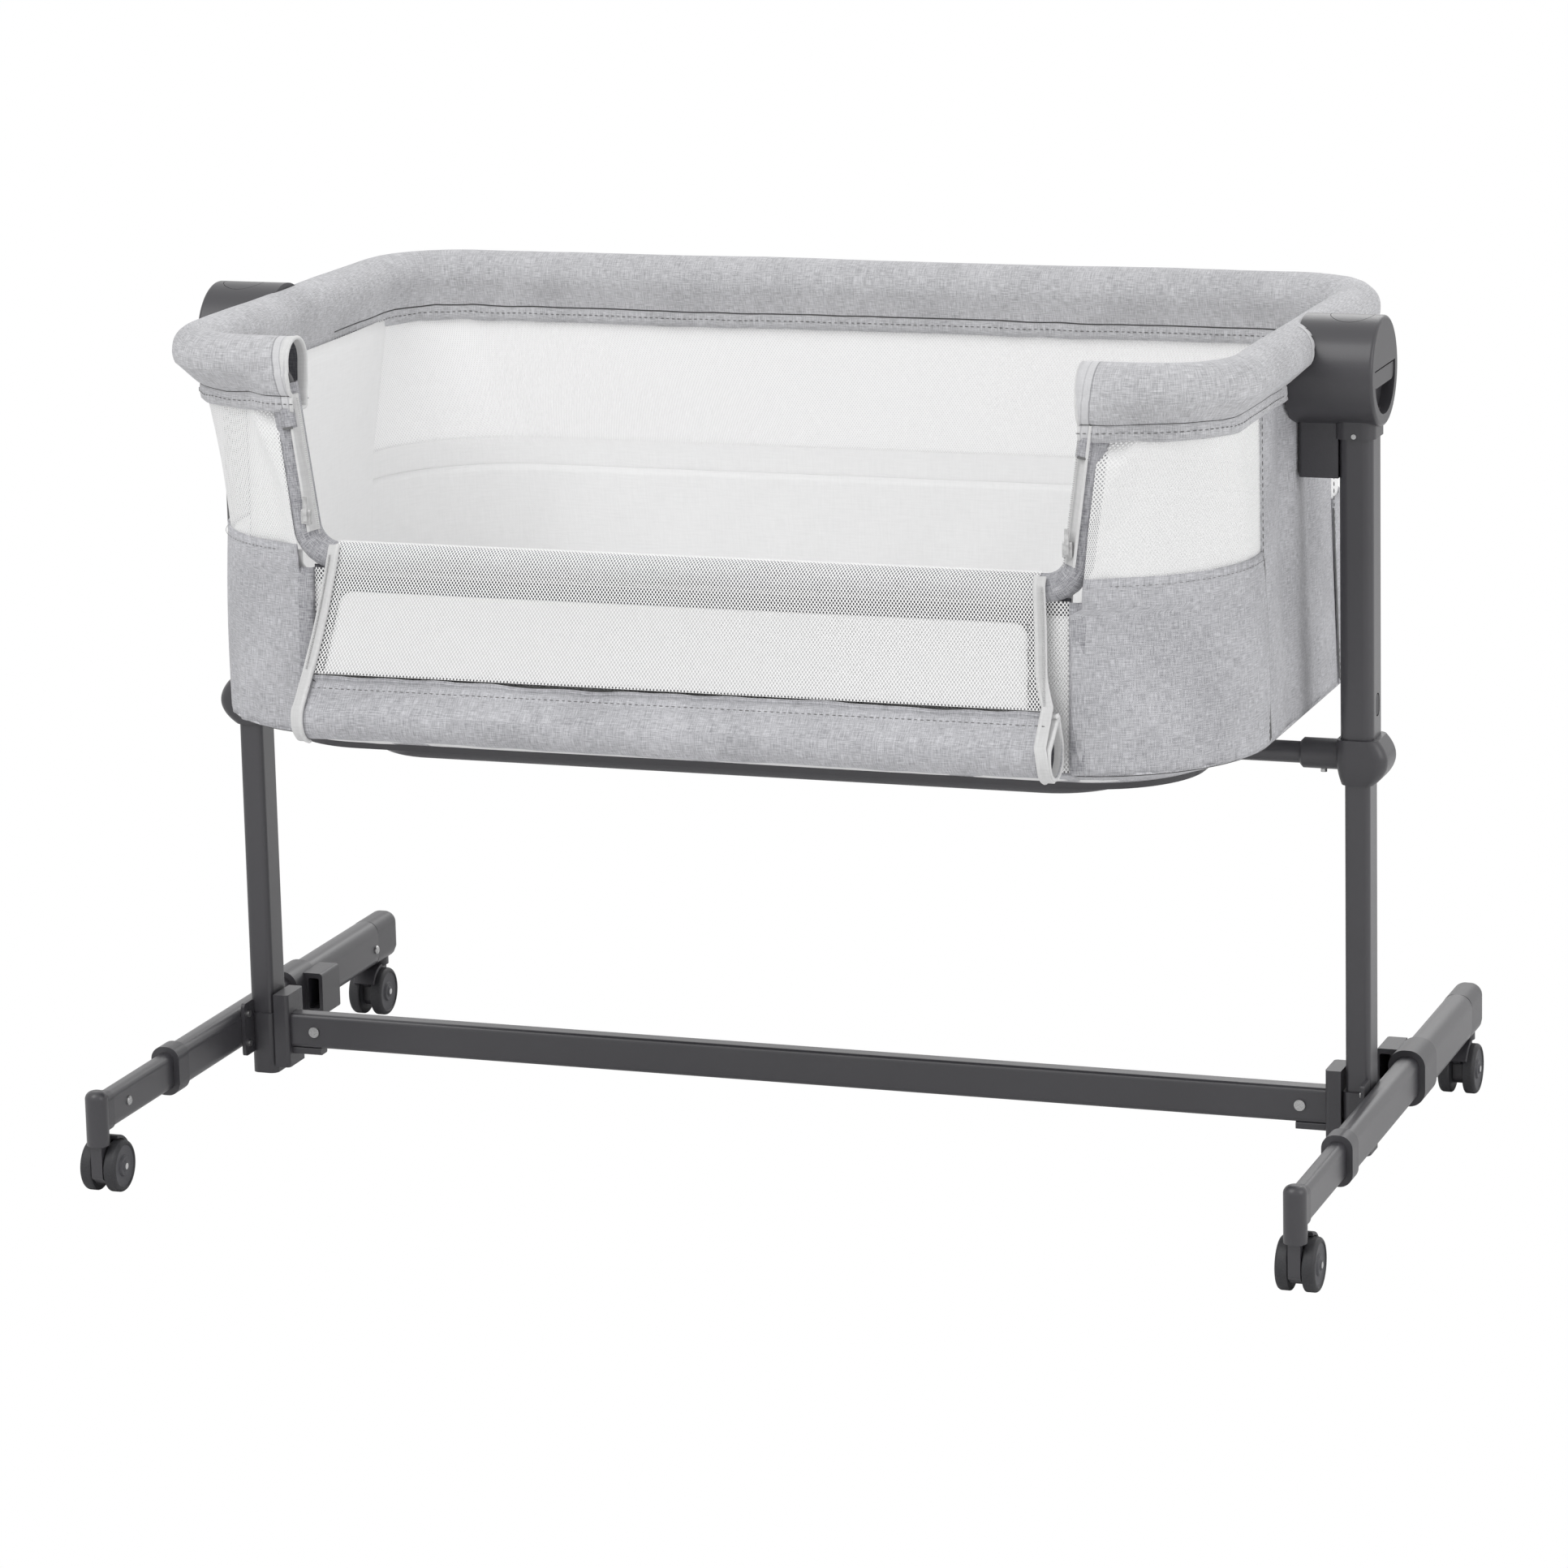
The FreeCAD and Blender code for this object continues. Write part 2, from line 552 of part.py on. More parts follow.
# ---------------------------------------------------------------- casters
fork = body("front_right_caster_fork")
s = sketch(fork, "YZ_Plane", foot_x - wheel_in + 0.5)
axle_y = -front_stem + trail
outline(s, [(-front_stem - 4.8, stem_z - 1), (-front_stem - 4.8, size(14)), (-front_stem + 3, size(8)),
            (axle_y + 4, size(8)), (axle_y + 9, size(13)), (axle_y + 9, wheel_r + 6),
            (axle_y - 3.5, stem_z - 7.5), (-front_stem + 4.8, stem_z - 1)],
        [None, 4, 4, 4, 4, 4, 6, None])
pad(fork, s, 2 * wheel_in - 1)
s = sketch(fork, "XY_Plane", stem_z - 1.3)
circle(s, foot_x, -front_stem, size(6.2))
pad(fork, s, 1.2)
s = sketch(fork, "XY_Plane", stem_z - 1)
circle(s, foot_x, -front_stem, size(4))
pad(fork, s, 17)
s = sketch(fork, "YZ_Plane", foot_x)
circle(s, axle_y, wheel_r, axle_r + 0.05)
pocket(fork, s, 3 * wheel_in, both=True)

wheels = body("wheel")
s = sketch(wheels, "XZ_Plane", -axle_y, foot_x, wheel_r)
outline(s, [(wheel_in, axle_r), (wheel_in + wheel_w, axle_r), (wheel_in + wheel_w, wheel_r * 0.36),
            (wheel_in + wheel_w - 1.5, wheel_r * 0.42), (wheel_in + wheel_w - 1, wheel_r * 0.8),
            (wheel_in + wheel_w, wheel_r * 0.84), (wheel_in + wheel_w, wheel_r), (wheel_in, wheel_r)],
        [None, None, None, None, None, None, 3, 1.5])
spin(wheels, s)
inner = body("wheel_pair")
s = sketch(inner, "XZ_Plane", -axle_y, foot_x, wheel_r)
outline(s, [(-wheel_in, axle_r), (-wheel_in - wheel_w, axle_r), (-wheel_in - wheel_w, wheel_r * 0.36),
            (-wheel_in - wheel_w + 1.5, wheel_r * 0.42), (-wheel_in - wheel_w + 1, wheel_r * 0.8),
            (-wheel_in - wheel_w, wheel_r * 0.84), (-wheel_in - wheel_w, wheel_r), (-wheel_in, wheel_r)],
        [None, None, None, None, None, None, 3, 1.5])
spin(inner, s)
axle = body("axle")
s = sketch(axle, "XZ_Plane", -axle_y, foot_x, wheel_r)
end = wheel_in + wheel_w
outline(s, [(-end - 1.2, size(0)), (-end - 1.2, size(3)), (-end, size(4.4)), (-end, axle_r),
            (end, axle_r), (end, size(4.4)), (end + 1.2, size(3)), (end + 1.2, size(0))])
spin(axle, s)
wheel_set = group("front_right_caster_wheels", [wheels, inner, axle])

# the brake pedal is an arc round the wheels, on an arm between them
brake = body("front_right_caster_brake")
s = sketch(brake, "XZ_Plane", -axle_y, foot_x, wheel_r)
outline(s, [(size(-9), wheel_r + 1), (size(9), wheel_r + 1), (size(9), wheel_r + 3.4),
            (size(-9), wheel_r + 3.4)], [None, None, 1, 1])
f = spin(brake, s)
f.Angle = 62
f.Reversed = True
arm = sketch(brake, "XZ_Plane", -axle_y, foot_x, wheel_r)
outline(arm, [(size(-3), size(13.5)), (size(3), size(13.5)), (size(3), wheel_r + 2),
              (size(-3), wheel_r + 2)])
f = spin(brake, arm)
f.Angle = 62
f.Reversed = True
doc.recompute()

about = (rear_stem - front_stem) / 2
for piece, name in ((fork, "caster_fork"), (wheel_set, "caster_wheels"), (brake, "caster_brake")):
    keep(piece, mirrored(piece, "front_left_" + name))
    rear = mirrored(piece, "rear_right_" + name, "Y", about)
    keep(rear, mirrored(rear, "rear_left_" + name))

# ---------------------------------------------------------------- upper posts and collars
b = body("upper_post")
s = sketch(b, "XY_Plane", upper_base)
rounded(s, post_half, size(0), up_w, up_d, up_r)
rounded(s, post_half, size(0), up_w - 2 * shell, up_d - 2 * shell, up_r - shell)
pad(b, s, upper_top - upper_base)
s = sketch(b, "YZ_Plane", post_half)
rounded(s, size(0), catch_z, catch_w, catch_h, catch_w / 2 - 0.5)
pocket(b, s, post_w, back=True)
pair(b, "upper_post")

b = body("catch_button")
s = sketch(b, "YZ_Plane", post_half + post_w / 2 + 0.2)
rounded(s, size(0), catch_z, catch_w - 1.6, catch_h - 1.6, catch_w / 2 - 1.4)
pad(b, s, gap + shell - 0.4)
pair(b, "catch_button")

b = body("height_collar")
sections = []
for up, swell, trim in ((0, 0, 3), (slide_h * 0.5, slide_bulge, 0), (slide_h, 1.5, 0.5)):
    s = sketch(b, "XY_Plane", upper_base - 6 + up)
    wide = up_w + 2 * (slide_t - trim)
    rounded(s, post_half + size(swell) / 2, size(0), wide + swell, up_d + 2 * (slide_t - trim) + size(swell) / 2,
            up_r + size(swell) / 4)
    sections.append(s)
f = b.newObject("PartDesign::AdditiveLoft", "Barrel")
f.Profile = sections[0]
f.Sections = sections[1:]
doc.recompute()
s = sketch(b, "YZ_Plane", socket_x)
circle(s, size(0), ring_z, socket_r)
pad(b, s, post_half - socket_x)
dress(b, "Chamfer", 2, lambda e: abs(box_of(e).XMax - socket_x.v) < 0.01)
s = sketch(b, "YZ_Plane", socket_x)
circle(s, size(0), ring_z, ring_r + 0.05)
pocket(b, s, 22, back=True)
s = sketch(b, "XY_Plane", upper_base)
rounded(s, post_half, size(0), up_w + run, up_d + run, up_r)
pocket(b, s, slide_h, back=True)
s = sketch(b, "XY_Plane", upper_base - 7)
rounded(s, post_half, size(0), post_w + 2 * run, post_d + 2 * run, post_r + run)
pocket(b, s, 10, back=True)
pair(b, "height_collar")

b = body("base_ring")
path = sketch(b, "XY_Plane", ring_z, name="RingPath")
outline(path, [(-ring_x, -ring_y), (ring_x, -ring_y), (ring_x, ring_y), (-ring_x, ring_y)], [ring_bend] * 4)
s = sketch(b, "YZ_Plane", 0)
circle(s, -ring_y, ring_z, ring_r)
pipe(b, s, path)
for way in (False, True):
    s = sketch(b, "YZ_Plane", (-1 if way else 1) * (ring_x + ring_r - 2))
    circle(s, size(0), ring_z, ring_r)
    circle(s, size(0), ring_z, ring_r - wall)
    pad(b, s, socket_x + 20 - ring_x - ring_r + 2, back=way)
path = sketch(b, "XY_Plane", ring_z, name="BorePath")
outline(path, [(-ring_x, -ring_y), (ring_x, -ring_y), (ring_x, ring_y), (-ring_x, ring_y)], [ring_bend] * 4)
s = sketch(b, "YZ_Plane", 0)
circle(s, -ring_y, ring_z, ring_r - wall)
pipe(b, s, path, cut=True)
keep(b)

# ---------------------------------------------------------------- hubs
b = body("hub_housing")
s = sketch(b, "YZ_Plane", hub_in)
circle(s, size(0), hub_z, hub_r)
pad(b, s, hub_out - hub_in)
dress(b, "Fillet", 2.5, lambda e: abs(box_of(e).XMin - hub_out.v) < 0.01 and box_of(e).YLength > 60)
neck = sketch(b, "XY_Plane", hub_z - hub_r - 8)
rounded(neck, post_half - 0.5, size(0), up_w + 5, up_d + 5, up_r + 2)
pad(b, neck, hub_r)
s = sketch(b, "XY_Plane", hub_z - hub_r - 37)
outline(s, [(post_half - up_w / 2 - 29.5, size(-15)), (post_half - up_w / 2 - 0.1, size(-15)),
            (post_half - up_w / 2 - 0.1, size(15)), (post_half - up_w / 2 - 29.5, size(15))],
        [3, None, None, 3])
pad(b, s, 60)
s = sketch(b, "XY_Plane", hub_z - hub_r - 9)
rounded(s, post_half, size(0), up_w + run, up_d + run, up_r)
pocket(b, s, upper_top - hub_z + hub_r + 9, back=True)
s = sketch(b, "XZ_Plane", 0)
circle(s, rim_x, rim_z, rim_tube + 0.1)
pocket(b, s, 3 * hub_r, both=True)
s = sketch(b, "YZ_Plane", hub_in)
rounded(s, size(0), rim_z - 6 + hub_r, 2 * hub_r + 10, 2 * hub_r, None)
pocket(b, s, hub_cut - hub_in, back=True)
s = sketch(b, "XY_Plane", hub_z + hub_r - 9)
circle(s, hub_x, size(0), hub_btn)
pocket(b, s, 20, back=True)
s = sketch(b, "YZ_Plane", hub_out - face_d)
c = pivot + 2
wide = face_r - 2
outline(s, [(-wide, hub_z + c), (-wide, hub_z - wide), (wide, hub_z - wide), (wide, hub_z + c)],
        [None, wide - 1, wide - 1, None])
pocket(b, s, face_d + 1, back=True)
pair(b, "hub_housing")

b = body("hub_lever")
s = sketch(b, "YZ_Plane", hub_out - lever_t - 1)
wide = face_r - 2.6
c = hub_z + pivot + 0.4
outline(s, [(-wide, c), (-wide, c - lever_h), (wide, c - lever_h), (wide, c)], [None, 8, 8, None])
pad(b, s, lever_t)
pair(b, "hub_lever")

press = part_rod("hub_button_rod", (0, 0, 1), hub_x, 0, hub_z + hub_r - 5.5, hub_btn - seam, 20)
round_top = part_rod("hub_button_top", (1, 0, 0), hub_x - hub_btn - 5, 0, hub_z, hub_r, 2 * hub_btn + 10)
pair(boolean("Common", "hub_button", press, round_top), "hub_button")

# ---------------------------------------------------------------- rim tube and padded sleeve
def rim_path(b, name, start):
    """The rim's centre line in plan, open at the front between its two ends."""
    p = sketch(b, "XY_Plane", rim_z, name=name)
    outline(p, [(start, -rim_y), (rim_x, -rim_y), (rim_x, rim_y), (-rim_x, rim_y),
                (-rim_x, -rim_y), (-start, -rim_y)], [None] + [rim_bend] * 4 + [None], closed=False)
    return p


def drop_path(b, name):
    """The rim tube's drop below the stub ends, along the opening's edges and the low rail."""
    p = sketch(b, "XZ_Plane", rim_y, name=name)
    far = rim_x - rim_bend
    outline(p, [(-far, rim_z), (-leg_top, rim_z), (-leg_low, rail_z), (leg_low, rail_z),
                (leg_top, rim_z), (far, rim_z)], [None] + [leg_bend] * 4 + [None], closed=False)
    return p


def along(name, route, r):
    """A solid rod of radius r along the rim or along its drop legs and rail."""
    rod = body(name)
    start = rim_x - rim_bend - 2.5 if route == "rim" else rim_bend - rim_x
    route = rim_path(rod, name + "_path", start) if route == "rim" else drop_path(rod, name + "_path")
    sk = sketch(rod, "YZ_Plane", start)
    circle(sk, -rim_y, rim_z, r)
    pipe(rod, sk, route)
    return rod


def rim_loop(name, r):
    """The whole bent rim: the padded rail, the drop legs and the low front rail."""
    return boolean("Fuse", name, along(name + "_rim", "rim", r), along(name + "_drop", "drop", r))


keep(boolean("Cut", "rim_tube", rim_loop("rim_outside", rim_tube), rim_loop("rim_bore", rim_tube - wall)))


def teardrop(s, y, z, r, drop, foot, inset, flip=1):
    """Padded section: a round back that narrows to its hem; flip turns it upside down."""
    top, side, low = z + flip * r, z - flip * r * 0.35, z - flip * drop
    outline(s, [(y - r, top), (y - r, side), (y + flip * inset - foot, low), (y + flip * inset + foot, low),
                (y + r, side), (y + r, top)], [r * 0.98, r * 0.9, foot * 0.5, foot * 0.5, r * 0.9, r * 0.98])


b = body("rim_padding")
path = rim_path(b, "SleevePath", stub_x)
s = sketch(b, "YZ_Plane", stub_x)
teardrop(s, -rim_y, rim_z, rim_pad, hem_drop, hem_w, hem_in)
pipe(b, s, path)
for way in (False, True):
    sign = -1 if way else 1
    s = sketch(b, "YZ_Plane", sign * stub_x)
    teardrop(s, -rim_y, rim_z, rim_pad - 3, hem_drop - 4, hem_w - 2.5, hem_in)
    pocket(b, s, loop_d, back=not way)

# the sleeve laps over the hub's inner end and is cut round its barrel
lap = part_box("hub_lap", hub_in - 1, -hub_r - 1, hub_z - hub_r - 1, size(12), 2 * hub_r + 2,
               rim_z - hub_z + hub_r - 4.7)
low_end = part_rod("hub_low_end", (1, 0, 0), hub_in - 0.3, 0, hub_z, hub_r + 0.3, size(10))
barrel = part_rod("hub_barrel", (1, 0, 0), hub_cut - 0.3, 0, hub_z, hub_r + 0.3, hub_out - hub_cut)
hub_room = boolean("Fuse", "hub_room", boolean("Common", "hub_low_room", low_end, lap), barrel)
padding = boolean("Cut", "padding_right", b, hub_room)
padding = boolean("Cut", "padding", padding, mirrored(hub_room, "hub_room_left"))

tube_room = rim_loop("tube_room", rim_tube + 0.1)
keep(boolean("Cut", "rim_sleeve", padding, tube_room))

# ---------------------------------------------------------------- sewn walls
def plan(name, z, half_x, half_y, r):
    """Outline of the bassinet in plan at height z."""
    p = doc.addObject("Sketcher::SketchObject", name)
    p.Placement = FreeCAD.Placement(V(0, 0, size(z).v), FreeCAD.Rotation())
    p.setExpression("Placement.Base.z", size(z).e)
    rounded(p, size(0), size(0), 2 * half_x, 2 * half_y, r)
    return p


floor = ring_z + ring_r + board_t
hem_z = rim_z - hem_drop


def stacked(name, sections):
    """A ruled solid through level outlines: (height, half length, half depth, corner radius)."""
    o = doc.addObject("Part::Loft", name)
    o.Sections = [plan("%s_%d" % (name, i), *row_) for i, row_ in enumerate(sections)]
    o.Solid, o.Ruled = True, True
    return o


def bag(name, t):
    """The space inside the bassinet's cloth, t in from its outer face."""
    top = hem_in - cloth / 2 + t
    return stacked(name, [(floor, low_x - wall_turn - t, low_y - wall_turn - t, wall_bend - wall_turn - t),
                          (wall_low, low_x - t, low_y - t, wall_bend - t),
                          (wall_mid, mid_x - t, mid_y - t, mid_bend - t),
                          (hem_z, rim_x - top, rim_y - top, rim_bend - top)])


cloth_shell = boolean("Cut", "wall_shell", bag("wall_outside", size(0)), bag("wall_inside", cloth))
low_z, tall = floor - 10, hem_z - floor + 20
back_box = part_box("back_region", -low_x - 10, seam_y + 0.1, low_z, 2 * low_x + 20, low_y, tall)
keep(boolean("Common", "back_wall", cloth_shell, back_box))
end_box = part_box("end_region", low_x / 2, -seam_y + 0.1, low_z, low_x, 2 * seam_y - 0.2, tall)
pair(boolean("Common", "end_wall", cloth_shell, end_box), "end_wall")


def side_region(name, points):
    """A block that runs through the front wall, cut to an outline seen from the front."""
    sk = doc.addObject("Sketcher::SketchObject", name + "_outline")
    sk.Placement = FreeCAD.Placement(V(0, -seam_y.v - 0.1, 0), FreeCAD.Rotation(V(1, 0, 0), 90))
    sk.setExpression("Placement.Base.y", (-seam_y - 0.1).e)
    outline(sk, points)
    block = doc.addObject("Part::Extrusion", name)
    block.Base, block.DirMode, block.Solid = sk, "Normal", True
    block.LengthFwd = low_y.v
    block.setExpression("LengthFwd", low_y.e)
    return block


# the corner panels wrap round to the upright seams; rolls of the same cloth hold the drop legs
edge_roll = along("edge_roll", "drop", roll_r)
panel_area = side_region("panel_area", [(edge_x + 0.1, low_z), (low_x + 20, low_z), (low_x + 20, hem_z + 9),
                                        (leg_top, rim_z), (leg_low, rail_z), (edge_x + 0.1, rail_z - roll_r)])
roll_area = part_box("roll_area", split_x + 0.1, -rim_y - 20, low_z, size(60), size(40), hem_z - low_z - 0.3)
panel = boolean("Fuse", "front_panel_solid", boolean("Common", "front_panel_sheet", cloth_shell, panel_area),
                boolean("Common", "front_panel_roll", edge_roll, roll_area))
pair(boolean("Cut", "front_panel", panel, tube_room), "front_panel")

apron_top = part_box("apron_top", -split_x + 0.1, -low_y - 20, low_z, 2 * split_x - 0.2, size(60), rail_z - low_z)
apron_low = part_box("apron_low", -edge_x + 0.1, -low_y - 20, low_z, 2 * edge_x - 0.2, size(60),
                     rail_z - roll_r - 0.3 - low_z)
apron_area = boolean("Fuse", "apron_area", apron_top, apron_low)
rail_area = part_box("rail_area", -split_x + 0.1, -rim_y - 20, low_z, 2 * split_x - 0.2, size(40), tall)
apron = boolean("Fuse", "apron", boolean("Common", "apron_sheet", cloth_shell, apron_area),
                boolean("Common", "rail_roll", edge_roll, rail_area))
b = body("fold_strip")
s = sketch(b, "YZ_Plane", 0)
tip = -hinge_y + knuckle + 0.4
outline(s, [(-rim_y, rail_z + roll_r - 0.4), (-rim_y - 4, rail_z + roll_r - 1.6), (tip, hinge_z - 1),
            (tip, hinge_z + 1)])
pad(b, s, 2 * (fold_x - 8), both=True)
keep(boolean("Cut", "front_lower_wall", boolean("Fuse", "apron_fold", apron, b), tube_room))

# ---------------------------------------------------------------- floor board and mattress
b = body("floor_board")
s = sketch(b, "XY_Plane", ring_z + ring_r)
rounded(s, size(0), size(0), board_x, board_y, wall_bend - wall_turn - board_gap)
pad(b, s, board_t)
keep(b)

inset = cloth + fit
mat_x, mat_y, mat_r = low_x - inset, low_y - inset, wall_bend - inset
keep(stacked("mattress", [(floor, mat_x - wall_turn, mat_y - wall_turn, mat_r - wall_turn),
                          (floor + mat_low, mat_x, mat_y, mat_r),
                          (floor + mat_t * 0.76, mat_x, mat_y, mat_r),
                          (floor + mat_t * 0.94, mat_x - 6, mat_y - 6, mat_r - 6),
                          (floor + mat_t, mat_x - 22, mat_y - 22, mat_r - 22)]))

# ---------------------------------------------------------------- drop side and its zips
# drawn hanging: the panel turns half a turn about its fold and its sleeve then closes the rim
drop_y, drop_z = 2 * hinge_y - rim_y, 2 * hinge_z - rim_z
b = body("drop_sleeve")
s = sketch(b, "YZ_Plane", 0)
teardrop(s, -drop_y, drop_z, rim_pad, hem_drop, hem_w, hem_in, flip=-1)
pad(b, s, 2 * drop_x, both=True)
for way in (False, True):
    s = sketch(b, "YZ_Plane", (-1 if way else 1) * drop_x)
    teardrop(s, -drop_y, drop_z, rim_pad - 3, hem_drop - 4, hem_w - 2.5, hem_in, flip=-1)
    pocket(b, s, loop_d, back=way)
keep(b)

b = body("drop_panel")
s = sketch(b, "YZ_Plane", 0)
foot_y, half = -drop_y - hem_in, cloth / 2
outline(s, [(-hinge_y + half, hinge_z - 1), (-hinge_y - half, hinge_z), (foot_y - half, drop_z + hem_drop),
            (foot_y + half, drop_z + hem_drop)])
pad(b, s, 2 * drop_x, both=True)
s = sketch(b, "YZ_Plane", 0)
circle(s, -hinge_y, hinge_z, knuckle)
pad(b, s, 2 * (fold_x - 8), both=True)
for sign in (1, -1):
    # the sides taper like the edges of the opening
    s = sketch(b, "XZ_Plane", drop_y + 20)
    outline(s, [(sign * fold_x, hinge_z + 6), (sign * drop_x, drop_z + hem_drop - 5),
                (sign * (drop_x + 5), drop_z + hem_drop - 5), (sign * (drop_x + 5), hinge_z + 6)])
    pocket(b, s, size(60))
keep(b)

b = body("zip_slider")
s = sketch(b, "YZ_Plane", leg_low - 6)
rounded(s, -rim_y - roll_r - 2, hinge_z + 16, size(3.6), size(11), size(1.2))
pad(b, s, 7)
s = sketch(b, "YZ_Plane", leg_low - 4)
outline(s, [(-rim_y - roll_r - 3.7, hinge_z + 13), (-rim_y - roll_r - 5.2, hinge_z + 13),
            (-rim_y - roll_r - 5.2, hinge_z + 31), (-rim_y - roll_r - 3.7, hinge_z + 31)])
pad(b, s, 3)
pair(b, "zip_slider")

# ---------------------------------------------------------------- screws
bolts = []
for sign in (1, -1):
    bolts.append(part_rod("crossbar_bolt", (0, -1, 0), sign * (block_x - 20), -bar_y - bar_d / 2, bar_z,
                       size(4.2), size(2)))
    for rise in (0.36, -0.36):
        bolts.append(part_rod("shoe_screw", (-1, 0, 0) if sign > 0 else (1, 0, 0),
                           sign * (post_half + post_w / 2 - 3), -post_d / 2 - 11, foot_z + rise * mid_h,
                           size(2.6), size(1.6)))
keep(group("stand_screws", bolts))
bolts = []
for sign in (1, -1):
    bolts.append(part_rod("socket_screw", (0, 0, -1), sign * (socket_x + 16.5), 0, ring_z - socket_r,
                       size(2.4), size(2.4)))
    bolts.append(part_rod("neck_rivet", (0, -1, 0), sign * post_half, -up_d / 2 - 2.5,
                       hub_z - hub_r - 5.5, size(1.8), size(1)))
keep(group("upper_screws", bolts))

# ---------------------------------------------------------------- check and write
doc.recompute()
for o in doc.Objects:
    if "Invalid" in o.State or "Error" in o.State:
        raise ValueError("%s did not compute: %s" % (o.Label, o.State))
names = [p.Label for p in pieces]
if len(set(names)) != len(names):
    raise ValueError("two pieces share a name")
os.makedirs("parts", exist_ok=True)
for p in pieces:
    if p.Shape.isNull() or not p.Shape.isValid():
        raise ValueError(p.Label + " is not a valid solid")
    p.Shape.exportStep("parts/%s.step" % p.Label)
    print("%-28s %2d solids %10.0f mm3" % (p.Label, len(p.Shape.Solids), p.Shape.Volume))
print(len(pieces), "nodes")
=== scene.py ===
# %% [markdown]
# A bedside sleeper crib: a cloth bassinet that hangs between two telescopic posts on wheeled
# feet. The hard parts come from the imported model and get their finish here. Everything sewn is
# built in this file: the padded rim, the net and cloth walls, the side that folds down and the
# mattress. Sizes are written in millimetres and scaled to metres once, when a mesh is made.

import math
import bpy
import bmesh
import numpy as np
from mathutils import Matrix, Vector


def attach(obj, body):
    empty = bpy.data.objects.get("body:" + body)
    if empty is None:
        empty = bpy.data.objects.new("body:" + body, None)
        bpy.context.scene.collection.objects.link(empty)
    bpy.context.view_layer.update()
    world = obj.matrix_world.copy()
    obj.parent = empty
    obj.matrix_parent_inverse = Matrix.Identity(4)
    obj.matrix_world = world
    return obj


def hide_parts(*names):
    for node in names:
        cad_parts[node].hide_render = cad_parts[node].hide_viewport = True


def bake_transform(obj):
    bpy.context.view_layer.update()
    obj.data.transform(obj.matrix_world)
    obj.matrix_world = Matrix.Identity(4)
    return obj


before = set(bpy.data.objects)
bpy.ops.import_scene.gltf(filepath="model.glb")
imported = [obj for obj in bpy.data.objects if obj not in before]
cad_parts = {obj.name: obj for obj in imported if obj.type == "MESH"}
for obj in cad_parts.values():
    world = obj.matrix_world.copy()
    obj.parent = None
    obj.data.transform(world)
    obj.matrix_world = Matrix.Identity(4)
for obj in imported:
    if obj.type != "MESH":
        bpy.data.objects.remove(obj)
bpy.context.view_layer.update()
MM = 0.001
HUB_Z, HUB_R = 606.0, 40.0
WHITE = (1.0, 1.0, 1.0, 1.0)

# %% [markdown]
# Materials are written as short sums. The class below wraps one socket of a node tree, so that
# an expression such as 1 - mask * 0.5 adds the Math nodes that a material needs, and `node`
# adds any other kind of node with its settings and its inputs.

# %% Shader maths
class Wire:
    """One value in a material's node tree, with the operators that add Math nodes."""

    def __init__(self, tree, socket):
        self.tree, self.socket = tree, socket

    def math(self, operation, *others, clamp=False):
        made = self.tree.nodes.new("ShaderNodeMath")
        made.operation, made.use_clamp = operation, clamp
        for slot, value in zip(made.inputs, (self,) + others):
            plug(self.tree, slot, value)
        return Wire(self.tree, made.outputs[0])

    def __add__(self, other): return self.math("ADD", other)
    def __radd__(self, other): return self.math("ADD", other)
    def __sub__(self, other): return self.math("SUBTRACT", other)
    def __mul__(self, other): return self.math("MULTIPLY", other)
    def __rmul__(self, other): return self.math("MULTIPLY", other)
    def __truediv__(self, other): return self.math("DIVIDE", other)
    def __rsub__(self, other): return (self * -1).math("ADD", other)
    def sin(self): return self.math("SINE")
    def size(self): return self.math("ABSOLUTE")
    def above(self, edge, soft):
        """0 below the edge and 1 above it, over a ramp `soft` wide."""
        return ((self - edge) / soft).math("ADD", 0.5, clamp=True)
    def below(self, edge, soft): return 1 - self.above(edge, soft)


def plug(tree, socket, value):
    """Link a wire or an output to a socket, or set the socket's own value."""
    value = value.socket if isinstance(value, Wire) else value
    if isinstance(value, bpy.types.NodeSocket):
        tree.links.new(value, socket)
    else:
        socket.default_value = value


def add_node(tree, kind, inputs=(), **settings):
    """Add a node: its settings first, then the values or links of its sockets."""
    made = tree.nodes.new(kind)
    for key, value in settings.items():
        setattr(made, key, value)
    for key, value in dict(inputs).items():
        plug(tree, made.inputs[key], value)
    return made


